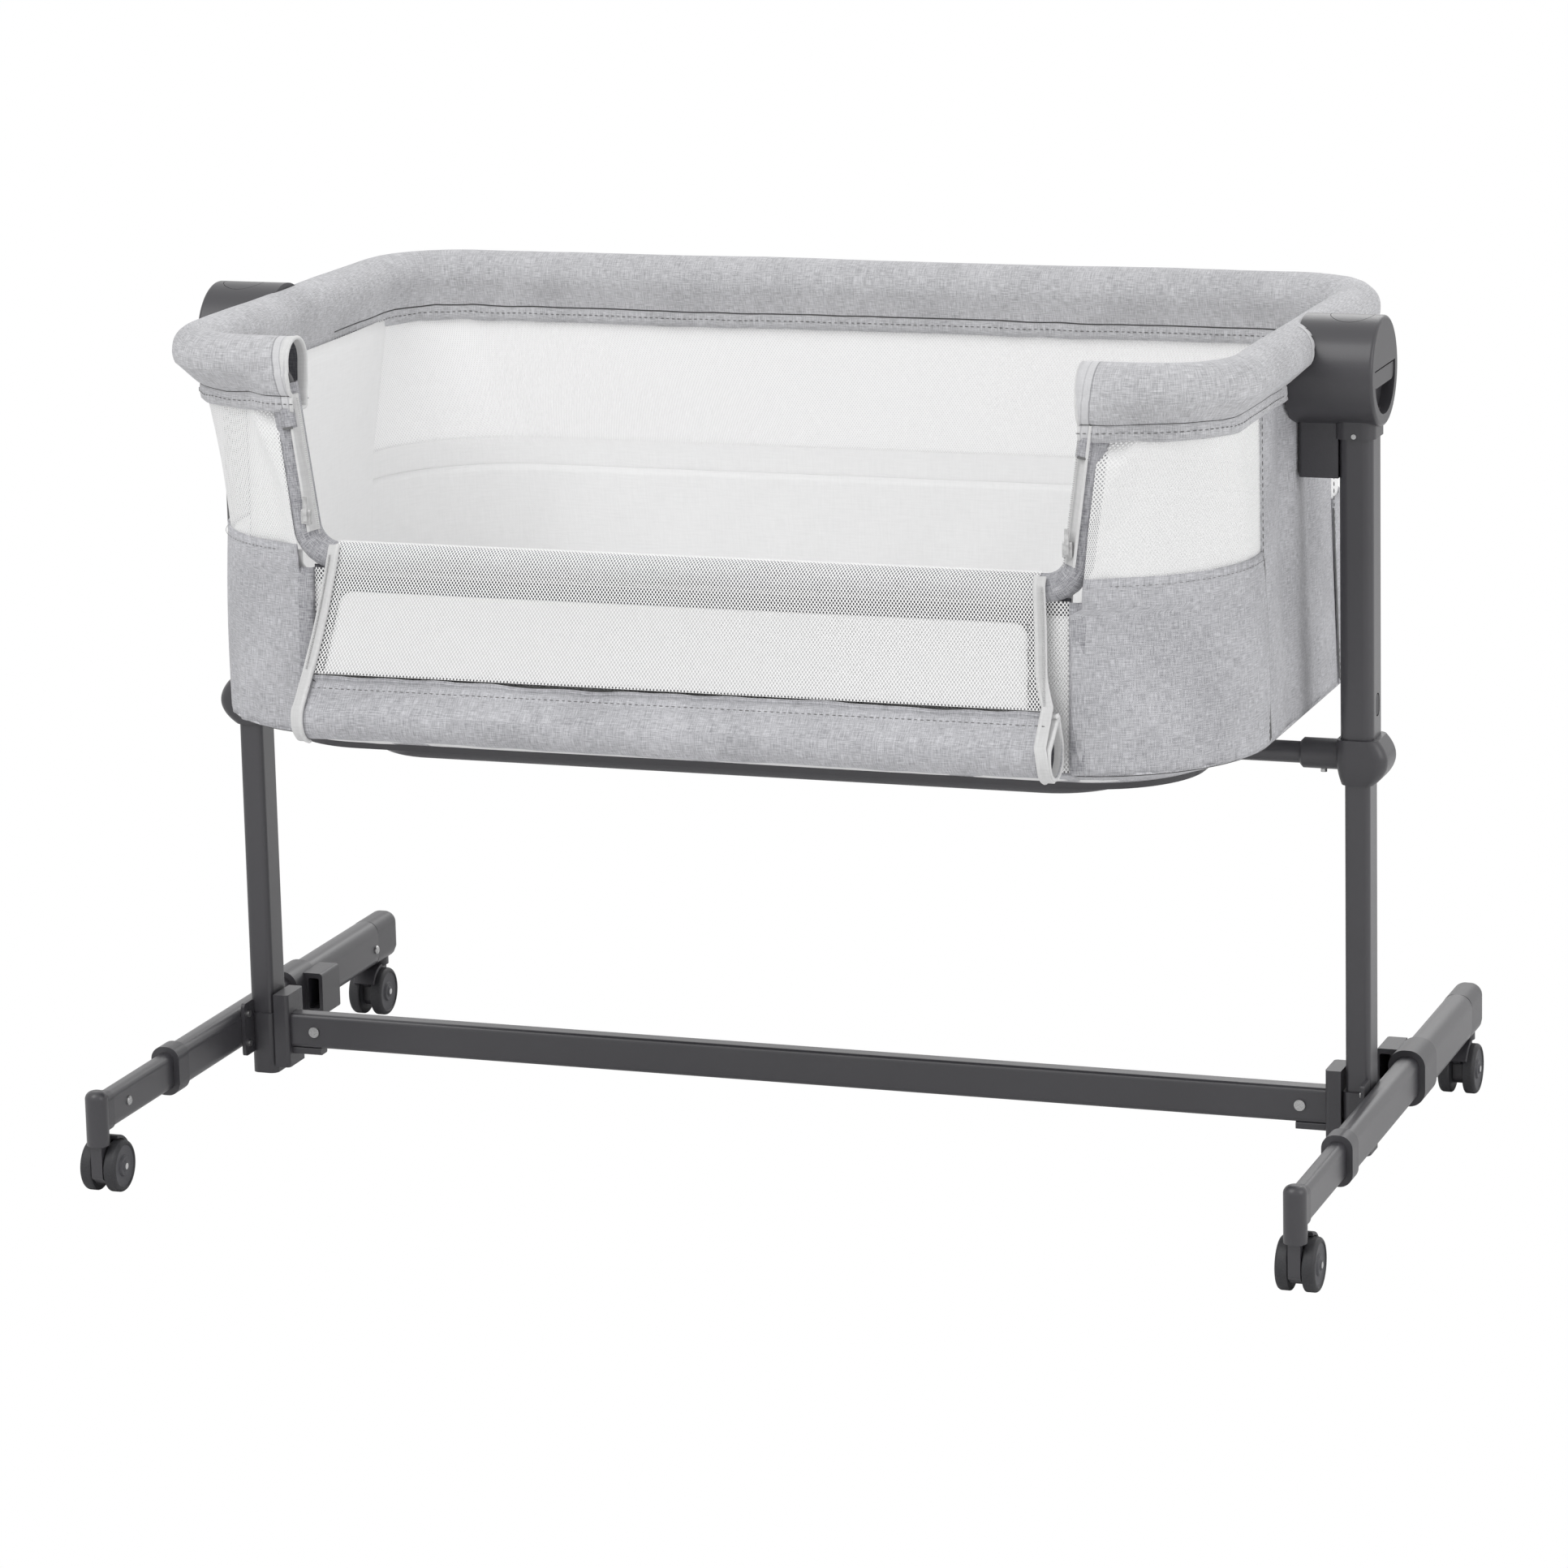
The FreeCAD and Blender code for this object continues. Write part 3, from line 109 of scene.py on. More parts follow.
class Finish:
    """A material with its surface shader, and the few nodes that patterns start from."""

    def __init__(self, name, **settings):
        self.material = bpy.data.materials.new(name)
        self.material.use_nodes = True
        self.tree = self.material.node_tree
        self.shader = self.tree.nodes["Principled BSDF"]
        self.place = self.tree.nodes.new("ShaderNodeTexCoord")
        for key, value in settings.items():
            self.set(key.replace("_", " "), value)

    def set(self, socket, value):
        plug(self.tree, self.shader.inputs[socket], value)

    def node(self, kind, output=0, inputs=(), **settings):
        return Wire(self.tree, add_node(self.tree, kind, inputs, **settings).outputs[output])

    def spot(self, where="Object"):
        return Wire(self.tree, self.place.outputs[where])

    def axes(self, where="Object"):
        return [self.node("ShaderNodeSeparateXYZ", i, {0: self.spot(where)}) for i in range(3)]

    def vector(self, x, y, z=0.0):
        return self.node("ShaderNodeCombineXYZ", 0, {0: x, 1: y, 2: z})

    def noise(self, vector, scale=1.0, detail=2.0, rough=0.5):
        return self.node("ShaderNodeTexNoise", 0, {"Vector": vector, "Scale": scale,
                                                   "Detail": detail, "Roughness": rough})

    def colours(self, factor, *stops):
        """A colour ramp: stops are (position, sRGB grey or colour)."""
        made = self.tree.nodes.new("ShaderNodeValToRGB")
        ramp = made.color_ramp
        while len(ramp.elements) < len(stops):
            ramp.elements.new(0.5)
        for element, (at, colour) in zip(ramp.elements, stops):
            element.position, element.color = at, tone(colour)
        plug(self.tree, made.inputs[0], factor)
        return Wire(self.tree, made.outputs[0])

    def mix(self, factor, a, b):
        return self.node("ShaderNodeMix", 2, {"Factor": factor, 6: a, 7: b}, data_type="RGBA")

    def bump(self, height, strength, distance):
        relief = self.node("ShaderNodeBump", 0, {"Height": height, "Strength": strength,
                                                 "Distance": distance})
        self.set("Normal", relief)


def tone(colour):
    """An sRGB colour of 0 to 255, or one grey, as the linear colour that Blender uses."""
    parts = colour if hasattr(colour, "__len__") else (colour, colour, colour)
    linear = [((c / 255 + 0.055) / 1.055) ** 2.4 if c > 10 else c / 255 / 12.92 for c in parts]
    return (*linear, 1.0)


print("sRGB 128 in linear light:", round(tone(128)[0], 3))

# %% [markdown]
# The tubes are powder coated in charcoal with a soft sheen, and the mouldings are the same
# colour in a finely textured plastic. Both could be one flat grey, but a fine grain and a broad,
# faint change of tone keep large plain parts from looking like paper.

# %% Hard finishes
def charcoal(name, grey, roughness, grain, relief, coat=0.0):
    f = Finish(name, Roughness=roughness, Coat_Weight=coat, Coat_Roughness=0.25)
    fine = f.noise(f.spot(), grain, 3.0, 0.6)
    broad = f.noise(f.spot(), 9.0, 2.0)
    f.set("Base Color", f.colours(fine * 0.4 + broad * 0.6, (0.25, (grey - 4, grey - 5, grey - 1)),
                                  (0.75, (grey + 5, grey + 4, grey + 8))))
    f.set("Roughness", fine * 0.12 + (roughness - 0.06))
    f.bump(fine, relief, 0.0004)
    return f.material


paint = charcoal("charcoal_powder_coat", 57, 0.42, 1400.0, 0.12, 0.42)
plastic = charcoal("charcoal_moulding", 53, 0.5, 900.0, 0.22, 0.4)
dark_plastic = charcoal("brake_plastic", 52, 0.5, 900.0, 0.2)


def screw_steel():
    f = Finish("screw_steel", Metallic=1.0, Roughness=0.3)
    grain = f.noise(f.spot(), 1800.0, 2.0)
    f.set("Base Color", f.colours(grain, (0.3, 150), (0.7, 205)))
    f.set("Roughness", grain * 0.2 + 0.22)
    return f.material


def slider_zinc():
    """The zip sliders are die-cast zinc with a pale enamel, rubbed darker where they are gripped."""
    f = Finish("slider_zinc", Metallic=0.2, Roughness=0.4)
    rub = f.noise(f.spot(), 260.0, 3.0)
    f.set("Base Color", f.colours(rub, (0.3, 168), (0.62, 206)))
    f.set("Roughness", rub * 0.2 + 0.3)
    f.bump(rub, 0.1, 0.0002)
    return f.material


WHEEL_X, WHEEL_Z, FACE_R, AXLE_R, AXLE_END = 456.5, 19.5, 15.6, 2.4, 14.6


def wheel_plastic(name, y_mm):
    """Twin wheels: a near black tread round a dark grey face, and the axle's steel ends."""
    f = Finish(name, Roughness=0.5)
    x, y, z = f.axes()
    dy, dz = y - y_mm * MM, z - WHEEL_Z * MM
    out = (dy * dy + dz * dz).math("SQRT")
    across = (x.size() - WHEEL_X * MM).size()
    tread = out.above(FACE_R * MM, 0.5 * MM)
    axle = out.below(AXLE_R * MM, 0.1 * MM) * across.above(AXLE_END * MM, 0.1 * MM)
    fine = f.noise(f.spot(), 900.0, 3.0)
    face = f.colours(fine, (0.3, (66, 66, 70)), (0.7, (78, 78, 82)))
    black = f.colours(fine, (0.3, (38, 38, 41)), (0.7, (48, 48, 51)))
    f.set("Base Color", f.mix(axle, f.mix(tread, face, black), tone(205)))
    f.set("Metallic", axle)
    f.set("Roughness", 0.55 - axle * 0.3)
    f.bump(fine, 0.15, 0.0003)
    return f.material


zinc = slider_zinc()
steel = screw_steel()
wheel_front, wheel_rear = wheel_plastic("wheel_front", -258.0), wheel_plastic("wheel_rear", 248.0)
print("hard finishes made")

# %% [markdown]
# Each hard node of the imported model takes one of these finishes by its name. Joining all nodes
# of one finish would be shorter, but they ride on different bodies, so they stay apart.

# %% Dress the hard nodes
TUBES = ("crossbar", "base_ring", "rim_tube", "lower_post", "foot_tube", "front_leg_tube",
         "rear_leg_tube", "upper_post")
for label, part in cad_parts.items():
    if "wheels" in label:
        finish = wheel_front if label.startswith("front") else wheel_rear
    elif "screws" in label:
        finish = steel
    elif "brake" in label or label.startswith("catch_button"):
        finish = dark_plastic
    elif label.startswith("zip_slider"):
        finish = zinc
    elif label == "crossbar" or (label.startswith(TUBES) and "blocks" not in label):
        finish = paint
    else:
        finish = plastic
    part.data.materials.clear()
    part.data.materials.append(finish)
print("hard nodes dressed:", len(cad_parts))

# %% [markdown]
# The cloth is a light grey melange: warp and weft threads are spun from pale and dark fibre, so
# the surface shows short streaks in both directions. Each sewn piece carries a UV map that is
# its flat pattern in metres, and the streaks are noise stretched along one thread direction.

# %% Melange and plain cloth
def melange(name, dark, light, contrast=1.0, extra=None):
    f = Finish(name, Roughness=0.92, Sheen_Weight=0.1, Sheen_Roughness=0.5)
    u, v, _ = f.axes("UV")
    warp = f.noise(f.vector(u * 1700.0, v * 120.0), 1.0, 2.0, 0.6)
    weft = f.noise(f.vector(u * 115.0 + 40.0, v * 1700.0), 1.0, 2.0, 0.6)
    cloudy = f.noise(f.vector(u * 16.0, v * 16.0, 3.0), 1.0, 2.0)
    mix = (warp + weft) * 0.42 + cloudy * 0.16
    spread = 0.11 / contrast
    base = f.colours(mix, (0.5 - spread, dark), (0.5 + spread, light))
    weave = (u * 4300.0).sin() * (v * 4300.0).sin()
    f.set("Base Color", extra(f, base) if extra else base)
    f.bump(weave * 0.35 + (warp + weft) * 0.8, 0.3, 0.0005)
    return f.material


def rim_edging(f, base):
    """The sleeve is bound in a paler edge round each hub and at both stubs, with a seam beside."""
    x, y, z = f.axes()
    dz = z - HUB_Z * MM
    out = (y * y + dz * dz).math("SQRT")
    end = x.size().above(402 * MM, 4 * MM)
    stub = x.size() - 295.0 * MM + dz * -0.12
    near = y.below(-185.0 * MM, 2 * MM) * x.size().below(330.0 * MM, 4 * MM)
    edge = out.below(49.0 * MM, 0.6 * MM) * end + stub.below(8.5 * MM, 0.5 * MM) * near
    seam = (out - 49.6 * MM).size().below(0.7 * MM, 0.5 * MM) * end
    seam = seam + (stub - 8.9 * MM).size().below(0.5 * MM, 0.4 * MM) * near
    ridge = (stub - 3.2 * MM).size().below(0.4 * MM, 0.5 * MM) * near
    pale = f.mix(edge * 0.75, base, tone((214, 214, 216)))
    return f.mix(seam * 0.55 + ridge * 0.3, pale, tone((112, 112, 116)))


def plain_cloth(name, dark, light, roughness=0.9, where="UV"):
    f = Finish(name, Roughness=roughness, Sheen_Weight=0.1)
    u, v, _ = f.axes(where)
    slub = f.noise(f.vector(u * 700.0, v * 60.0), 1.0, 2.0)
    cross = f.noise(f.vector(u * 60.0, v * 700.0), 1.0, 2.0)
    f.set("Base Color", f.colours((slub + cross) * 0.5, (0.3, dark), (0.7, light)))
    weave = (u * 5200.0).sin() * (v * 5200.0).sin()
    f.bump(weave * 0.5 + slub + cross, 0.25, 0.0004)
    return f.material


grey_cloth = melange("grey_melange", (150, 150, 154), (210, 210, 214))
rim_cloth = melange("rim_melange", (160, 160, 163), (216, 216, 219), extra=rim_edging)
strip_cloth = melange("edge_strip_melange", (126, 126, 131), (192, 192, 196), 1.2)
# Grey cloth coloured far darker than the melange: painted shade inside the sleeves and behind the nets.
painted_shade_cloth = melange("painted_shade_cloth", (66, 66, 71), (104, 104, 109))
lining = plain_cloth("white_lining", 244, 251)
front_white = plain_cloth("front_lining_cloth", 228, 238)
zip_tape = plain_cloth("pale_zip_tape", 210, 224, 0.8)
zip_coil = plain_cloth("zip_coil", 186, 200, 0.6)
# The dark piping's colour, also used for cords that paint shade into the rim's creases.
piping_and_crease_shade = plain_cloth("dark_piping_and_crease_shade", 58, 74, 0.8)
thread = plain_cloth("dark_thread", 100, 118, 0.8)
seam_shade = plain_cloth("seam_shade", 118, 136, 0.9)
mattress_cover = plain_cloth("mattress_cover", 228, 240, where="Object")
print("cloth finishes made")

# %% [markdown]
# The windows are a knitted net with a lattice of small holes. Ten thousand real holes a window
# would swamp the mesh, so the holes are in the Alpha, drawn from the same flat pattern.

# %% Net
def net(name, colour, pitch_mm, open_part, see_through, relief=0.3):
    f = Finish(name, Roughness=0.85, Sheen_Weight=0.1)
    u, v, _ = f.axes("UV")
    k = math.pi / (pitch_mm * MM)
    lattice = (((u + v * 0.7) * k).sin() * ((u - v * 0.7) * k).sin()).size()
    # Towards each hole the colour darkens in step with the relief: painted shade in the hollows between the
    # threads.
    f.set("Base Color", f.colours(lattice, (0.0, colour + 4), (0.8, colour - 30 * relief)))
    f.set("Alpha", 1 - lattice.above(open_part, 0.16) * see_through)
    f.bump(lattice * -1, relief, 0.0006)
    return f.material


white_net = net("white_net", 238, 2.3, 0.6, 0.75)
back_mesh = net("back_net_cloth", 250, 2.3, 0.7, 0.2, 0.05)
front_net = net("front_net", 248, 2.5, 0.44, 0.97)
print("nets made")

# %% [markdown]
# Every sewn wall lies on one surface: the bassinet's outside. Seen from above it is a rounded
# rectangle whose size changes with height, so a point is named by how far round it is (q) and
# by its height. q runs from the middle of the front (0) over the straight front (to 1), the
# front corner (to 2), the end (to 3), the rear corner (to 4) to the middle of the back (5), and
# negative q is the left half. Past 5, q goes on into the left half from the back.

# %% The bassinet's outside
FLOOR, LOW, BAND, HEM, RIM_Z = 336.7, 352.0, 490.0, 589.0, 624.0
LEVELS = np.array([FLOOR, LOW, BAND, HEM, RIM_Z])
HALF_X = np.array([352.0, 396.0, 391.5, 391.25, 391.25])
HALF_Y = np.array([185.0, 229.0, 223.0, 213.25, 213.25])
CORNER = np.array([78.0, 122.0, 110.0, 57.25, 57.25])
SEAM_Y = 102.0
OPEN_TOP, OPEN_LOW = 307.5, 289.0
LINING_Z = 342.0
SIDES = ((1, "right"), (-1, "left"))


def plan_at(z):
    return [np.interp(z, LEVELS, a) for a in (HALF_X, HALF_Y, CORNER)]


def wall(q, z, inset=0.0):
    """The point of the bassinet's outside at q and height z, and its outward direction."""
    hx, hy, r = plan_at(z)
    q = q if q <= 5 else q - 10
    side, q = (-1.0 if q < 0 else 1.0), abs(q)
    quarter = (q - 1 if q <= 2 else q - 3) * math.pi / 2
    if q <= 1:
        p, n = ((hx - r) * q, -hy), (0.0, -1.0)
    elif q <= 2:
        n = (math.sin(quarter), -math.cos(quarter))
        p = (hx - r + r * n[0], -(hy - r) + r * n[1])
    elif q <= 3:
        p, n = (hx, (q - 2.5) * 2 * (hy - r)), (1.0, 0.0)
    elif q <= 4:
        n = (math.cos(quarter), math.sin(quarter))
        p = (hx - r + r * n[0], hy - r + r * n[1])
    else:
        p, n = ((hx - r) * (5 - q), hy), (0.0, 1.0)
    point = np.array([p[0] - n[0] * inset, p[1] - n[1] * inset, z])
    return point * (side, 1, 1), np.array([n[0] * side, n[1], 0.0])


def q_front(x, z):
    """The q of the point of the front at x, on its straight part or on its corner."""
    hx, hy, r = plan_at(z)
    if x <= hx - r:
        return x / (hx - r)
    return 1 + math.asin(min(1.0, (x - hx + r) / r)) / (math.pi / 2)


def q_end(y, z):
    """The q of the point of an end at y, on its straight part or on its corners."""
    hx, hy, r = plan_at(z)
    if abs(y) <= hy - r:
        return 2.5 + y / (2 * (hy - r))
    bend = math.acos(min(1.0, (abs(y) - hy + r) / r)) / (math.pi / 2)
    return 1 + bend if y < 0 else 4 - bend


print("half length, half depth and corner at the band, mm:", [round(float(a), 1) for a in plan_at(BAND)])

# %% [markdown]
# A sewn panel could be modelled by hand, but then its flat pattern would be a guess. Here it is
# a grid of points on that surface, so its pattern is measured along the grid, and a Solidify
# modifier gives the cloth its thickness.

# %% Sheets from a grid of points
def link(mesh, name):
    piece = bpy.data.objects.new(name, mesh)
    bpy.context.collection.objects.link(piece)
    return piece


def sheet_from(name, grid, material, thick=1.2, closed=False, offset=0.0):
    """A cloth piece from rows of points in mm, with its flat pattern as UV map in metres."""
    grid = np.asarray(grid, float)
    rows, cols = grid.shape[:2]
    along = np.linalg.norm(np.diff(grid, axis=1), axis=2).mean(0)
    up = np.linalg.norm(np.diff(grid, axis=0), axis=2).mean(1)
    us, vs = np.r_[0, np.cumsum(along)], np.r_[0, np.cumsum(up)]
    us = np.r_[us, us[-1] + along.mean()]
    last = cols if closed else cols - 1
    faces, flat = [], []
    for r in range(rows - 1):
        for c in range(last):
            d = (c + 1) % cols
            faces.append((r * cols + c, r * cols + d, (r + 1) * cols + d, (r + 1) * cols + c))
            flat += [(us[c], vs[r]), (us[c + 1], vs[r]), (us[c + 1], vs[r + 1]), (us[c], vs[r + 1])]
    mesh = bpy.data.meshes.new(name)
    mesh.from_pydata((grid.reshape(-1, 3) * MM).tolist(), [], faces)
    mesh.uv_layers.new(name="flat_pattern").data.foreach_set("uv", (np.array(flat) * MM).ravel())
    mesh.polygons.foreach_set("use_smooth", [True] * len(faces))
    mesh.materials.append(material)
    piece = link(mesh, name)
    piece["flat"] = [float(us[cols if closed else cols - 1] * MM), float(vs[-1] * MM)]
    piece["flat_area"] = sum(face.area for face in mesh.polygons)
    if thick:
        shell = piece.modifiers.new("thickness", "SOLIDIFY")
        shell.thickness, shell.offset = thick * MM, offset
    return piece


# %% [markdown]
# Cloth is never quite flat. `wave` gives a smooth curve from a fixed seed, and a wall's rows of
# points are pushed in and out by such curves, which keeps folds gentle and the same every run.

# %% Waves and rows of a wall
def wave(*seeds):
    """A smooth curve that looks random and is the same every run."""
    rng = np.random.default_rng(list(seeds))
    f, a = rng.uniform(0.4, 2.2, 6), rng.uniform(0, 6.28, 6)
    return lambda t: float(np.sin(f * t + a).sum() / 3.0)


def bump_at(t, centre, width):
    return math.exp(-((t - centre) / width) ** 2)


def wall_grid(edges, z0, z1, cols, rows, inset=0.0, push=None):
    """Rows of points between two heights; edges(z) gives the q at both ends of a row."""
    grid = []
    for i in range(rows):
        t = i / (rows - 1)
        z = z0 + (z1 - z0) * t
        a, b = edges(z)
        line = []
        for j in range(cols):
            s = j / (cols - 1)
            p, n = wall(a + (b - a) * s, z, inset)
            line.append(p + n * push(s, t, z) if push else p)
        grid.append(line)
    return grid


# %% [markdown]
# Each finished piece has to be told what it moves with and which imported node it stands for.
# Doing that in one place keeps the pieces alike.

# %% Sewing a piece to its body
made = []


def bake(piece):
    """Give a piece its evaluated mesh, and drop the modifiers that made it."""
    ready = piece.evaluated_get(bpy.context.evaluated_depsgraph_get())
    mesh = bpy.data.meshes.new_from_object(ready)
    piece.modifiers.clear()
    piece.data = mesh
    return mesh


def sewn(piece, body="upper_frame", replaces=()):
    """Let a piece move with its body and stand for the nodes that it covers."""
    if body:
        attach(piece, body)
    if replaces:
        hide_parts(*replaces)
    made.append(piece.name)
    return piece


def panel(name, grid, material, thick=0.0, replaces=(), held="stretched", body="upper_frame"):
    """A flat-cut sheet from rows of points, sewn to its body."""
    return sewn(sheet_from(name, grid, material, thick), body, replaces)


print("height from floor to rim, mm:", round(RIM_Z - FLOOR, 1))

# %% [markdown]
# Rolls, ribbons and piping follow a line. `follow` sweeps a section along points, with the
# section's first axis held to a given direction, so a ribbon lies flat on what it is sewn to.

# %% Things that follow a line
def follow(name, points, facing, section, material, closed=True, thick=0.0, offset=0.0):
    points = np.asarray(points, float)
    tangents = np.gradient(points, axis=0)
    grid = []
    for p, t, a in zip(points, tangents, facing):
        t = t / np.linalg.norm(t)
        a = np.asarray(a, float)
        a = a - t * a.dot(t)
        a = a / np.linalg.norm(a)
        b = np.cross(t, a)
        grid.append([p + a * u + b * v for u, v in section])
    return sheet_from(name, grid, material, thick, closed=closed, offset=offset)


def circle(r, count=20, squash=1.0):
    return [(r * math.cos(a), r * squash * math.sin(a))
            for a in np.linspace(0, 2 * math.pi, count, endpoint=False)]


def polyline(corners, bends, step=4.0):
    """Points along straight runs with rounded corners, all in mm."""
    corners = [np.asarray(c, float) for c in corners]
    points = [corners[0]]

    def run(a, b):
        n = max(1, int(np.linalg.norm(b - a) / step))
        points.extend(a + (b - a) * (i + 1) / n for i in range(n))

    here = corners[0]
    for k in range(1, len(corners) - 1):
        c, r = corners[k], bends[k - 1]
        u, w = corners[k - 1] - c, corners[k + 1] - c
        u, w = u / np.linalg.norm(u), w / np.linalg.norm(w)
        half = math.acos(np.clip(u.dot(w), -1, 1)) / 2
        cut = r / math.tan(half)
        start, stop = c + u * cut, c + w * cut
        run(here, start)
        middle = c + (u + w) / np.linalg.norm(u + w) * r / math.sin(half)
        for i in range(1, 9):
            blend = i / 8
            arm = (start - middle) * (1 - blend) + (stop - middle) * blend
            points.append(middle + arm / np.linalg.norm(arm) * r)
        here = stop
    run(here, corners[-1])
    return np.array(points)


print("points on a 10 mm circle:", len(circle(10)))

# %% [markdown]
# The front corner panels wrap from the opening's edge round the corner to an upright seam on
# the end: net above and melange below. The net is drawn forward over the roll that carries it.

# %% Front corner panels
GUSSET_TOP, GUSSET_X = 470.0, 286.5


def edge_x(z):
    """The opening's edge from the middle: the drop leg above the rail, the gusset below it."""
    if z < GUSSET_TOP:
        return GUSSET_X
    return OPEN_LOW + (OPEN_TOP - OPEN_LOW) * max(0.0, (z - 482) / 142) + 6.0


def corner_edges(side):
    return lambda z: (side * q_front(edge_x(z), z), side * q_end(-SEAM_Y, z))


def slack(depth, power):
    """How a lining hangs inwards between its side seams."""
    return lambda s, t, z: -depth * math.sin(math.pi * s) ** power


for side, hand in SIDES:
    ripple, lip = wave(3, side + 2), wave(5, side + 2)

    def band_push(s, t, z):
        over_roll = 5.5 * bump_at(s, 0.0, 0.10) * min(1.0, max(0.0, (z - 462) / 14))
        return (1.6 * math.sin(math.pi * t) + 0.6 * ripple(8 * s + t) + over_roll
                + 1.1 * (1 - t) ** 4 * lip(26 * s))

    def net_push(s, t, z):
        over_roll = (6.0 + 9.5 * t) * bump_at(s, 0.0, 0.07) * min(1.0, (1 - t) * 5)
        hang = -2.0 * math.sin(math.pi * t) * math.sin(math.pi * s)
        return hang + over_roll + 0.4 * ripple(7 * s)

    edges = corner_edges(side)
    panel("corner_lining_" + hand, wall_grid(edges, LINING_Z, 486.0, 60, 16, 1.6, slack(3.0, 0.5)),
          lining, 0.4)
    panel("corner_band_" + hand, wall_grid(edges, LOW, BAND + 1, 80, 28, 0.0, band_push), grey_cloth,
          1.6, ("front_panel_" + hand,))
    panel("corner_foot_" + hand, wall_grid(edges, FLOOR, LOW, 60, 5), grey_cloth, 1.6)
    panel("corner_net_" + hand, wall_grid(edges, BAND - 2, HEM + 4, 80, 22, 1.2, net_push), white_net)
print("corner panels made")

# %% [markdown]
# The ends are plain melange from the rim to the floor. The cloth is a little too long there, so
# it stands in soft upright folds, which fade towards the seams and the tight lower edge.

# %% End walls
FOLDS = ((0.10, 0.06, 3.0), (0.30, 0.07, -5.0), (0.47, 0.08, 4.2), (0.66, 0.05, -3.2),
         (0.83, 0.07, 2.6))


def end_edges(side):
    return lambda z: (side * q_end(-SEAM_Y, z), side * q_end(SEAM_Y, z))


for side, hand in SIDES:
    drift = wave(11, side + 5)

    def fold_push(s, t, z):
        fade = (0.25 + 0.75 * t) * min(1.0, (1 - t) * 9 + 0.3)
        folds = sum(h * bump_at(s + 0.05 * (1 - t) * drift(9 * c), c, w) for c, w, h in FOLDS)
        return folds * fade * math.sin(math.pi * min(max(s, 0.03), 0.97)) ** 0.5 - 1.0

    panel("end_cloth_" + hand, wall_grid(end_edges(side), LOW, HEM + 6, 110, 44, 0.0, fold_push),
          grey_cloth, 1.8, ("end_wall_" + hand,), "hung")
    panel("end_foot_" + hand, wall_grid(end_edges(side), FLOOR, LOW, 40, 5), grey_cloth, 1.6)
    inner_edges = lambda z: (side * q_end(1 - SEAM_Y, z), side * 3.1)
    panel("end_lining_" + hand, wall_grid(inner_edges, LINING_Z, HEM + 6, 60, 20, 1.4, slack(7.5, 0.4)),
          lining, 0.4, held="hung")
print("end walls made")

# %% [markdown]
# The back is one wide net above a melange band. Inside, a white lining covers the band, with a
# seam a third of the way down.

# %% Back wall
def back_edges(z):
    q = q_end(SEAM_Y, z)
    return q, 10 - q


def back_grid(z0, z1, rows, inset, push=None):
    return wall_grid(back_edges, z0, z1, 201, rows, inset, push)


sag, crinkle = wave(23, 1), wave(29, 1)
panel("back_band", back_grid(LOW, BAND + 1, 22, 0.0,
                             lambda s, t, z: 1.2 * math.sin(math.pi * t) + 0.5 * sag(30 * s + t)),
      grey_cloth, 1.6, ("back_wall",))
panel("back_net", back_grid(BAND - 2, HEM + 4, 26, 1.2,
                            lambda s, t, z: 0.8 * sag(20 * s) * math.sin(math.pi * t)), back_mesh)
panel("back_foot", back_grid(FLOOR, LOW, 5, 0.0), grey_cloth, 1.6)
panel("back_upper_lining", back_grid(470.0, 493.0, 6, 2.2, lambda s, t, z: 0.2 * sag(14 * s)), lining)
panel("back_lower_lining", back_grid(LINING_Z, 471.5, 22, 3.2,
                                     lambda s, t, z: crinkle(40 * s + 3 * t) * (1 - t) ** 0.5),
      lining, 0.5)
print("back wall made")

# %% [markdown]
# The rim is a bent tube in a padded sleeve. Its section is a teardrop: round over the tube and
# drawn together into a flat stitched hem below. It is swept along the rim from the right stub
# round the back to the left stub, with wrinkles pressed in where the sleeve turns.

# %% The rim's route and section
RIM_X, RIM_Y, RIM_BEND, PAD, STUB = 396.0, 218.0, 62.0, 17.0, 295.0


def rim_line(start=STUB):
    x, y = RIM_X, RIM_Y
    corners = [(start, -y, RIM_Z), (x, -y, RIM_Z), (x, y, RIM_Z), (-x, y, RIM_Z), (-x, -y, RIM_Z),
               (-start, -y, RIM_Z)]
    points = polyline(corners, [RIM_BEND] * 4, 4.5)
    tangents = np.gradient(points, axis=0)
    tangents /= np.linalg.norm(tangents, axis=1)[:, None]
    return points, np.stack([tangents[:, 1], -tangents[:, 0], 0 * tangents[:, 0]], 1)


def teardrop(r=PAD, drop=35.0, inset=6.0, hem=4.2, band=11.0, arc=30):
    """Section as (outwards, up) points: down the inside, along the hem and up the outside."""
    outer = -inset + hem
    inner = -inset - hem
    top = [(r * math.cos(a), r * math.sin(a)) for a in np.radians(np.linspace(-24, 204, arc))]
    slope = lambda p, q, n: [tuple(np.add(p, np.multiply(np.subtract(q, p), i / n)))
                             for i in range(1, n)]
    lip_in, lip_out = (inner + 0.6, -drop + band), (outer - 1.0, -drop + band + 0.4)
    inside = slope(top[-1], lip_in, 6) + [lip_in, (inner + 0.2, -drop + band * 0.5),
                                          (inner + 0.8, -drop + 0.8)]
    under = [(inner + 2.2, -drop), (outer - 2.2, -drop)]
    outside = [(outer - 0.6, -drop + 0.9), (outer, -drop + band * 0.5),
               (outer - 0.3, -drop + band - 1.2), lip_out]
    return np.array(top + inside + under + outside + slope(lip_out, top[0], 6))


rim_points, rim_out = rim_line()
run_of = np.r_[0, np.cumsum(np.linalg.norm(np.diff(rim_points, axis=0), axis=1))]
section = teardrop()
pucker, broad = wave(31, 2), wave(37, 4)
print("rim length in mm:", round(run_of[-1]))

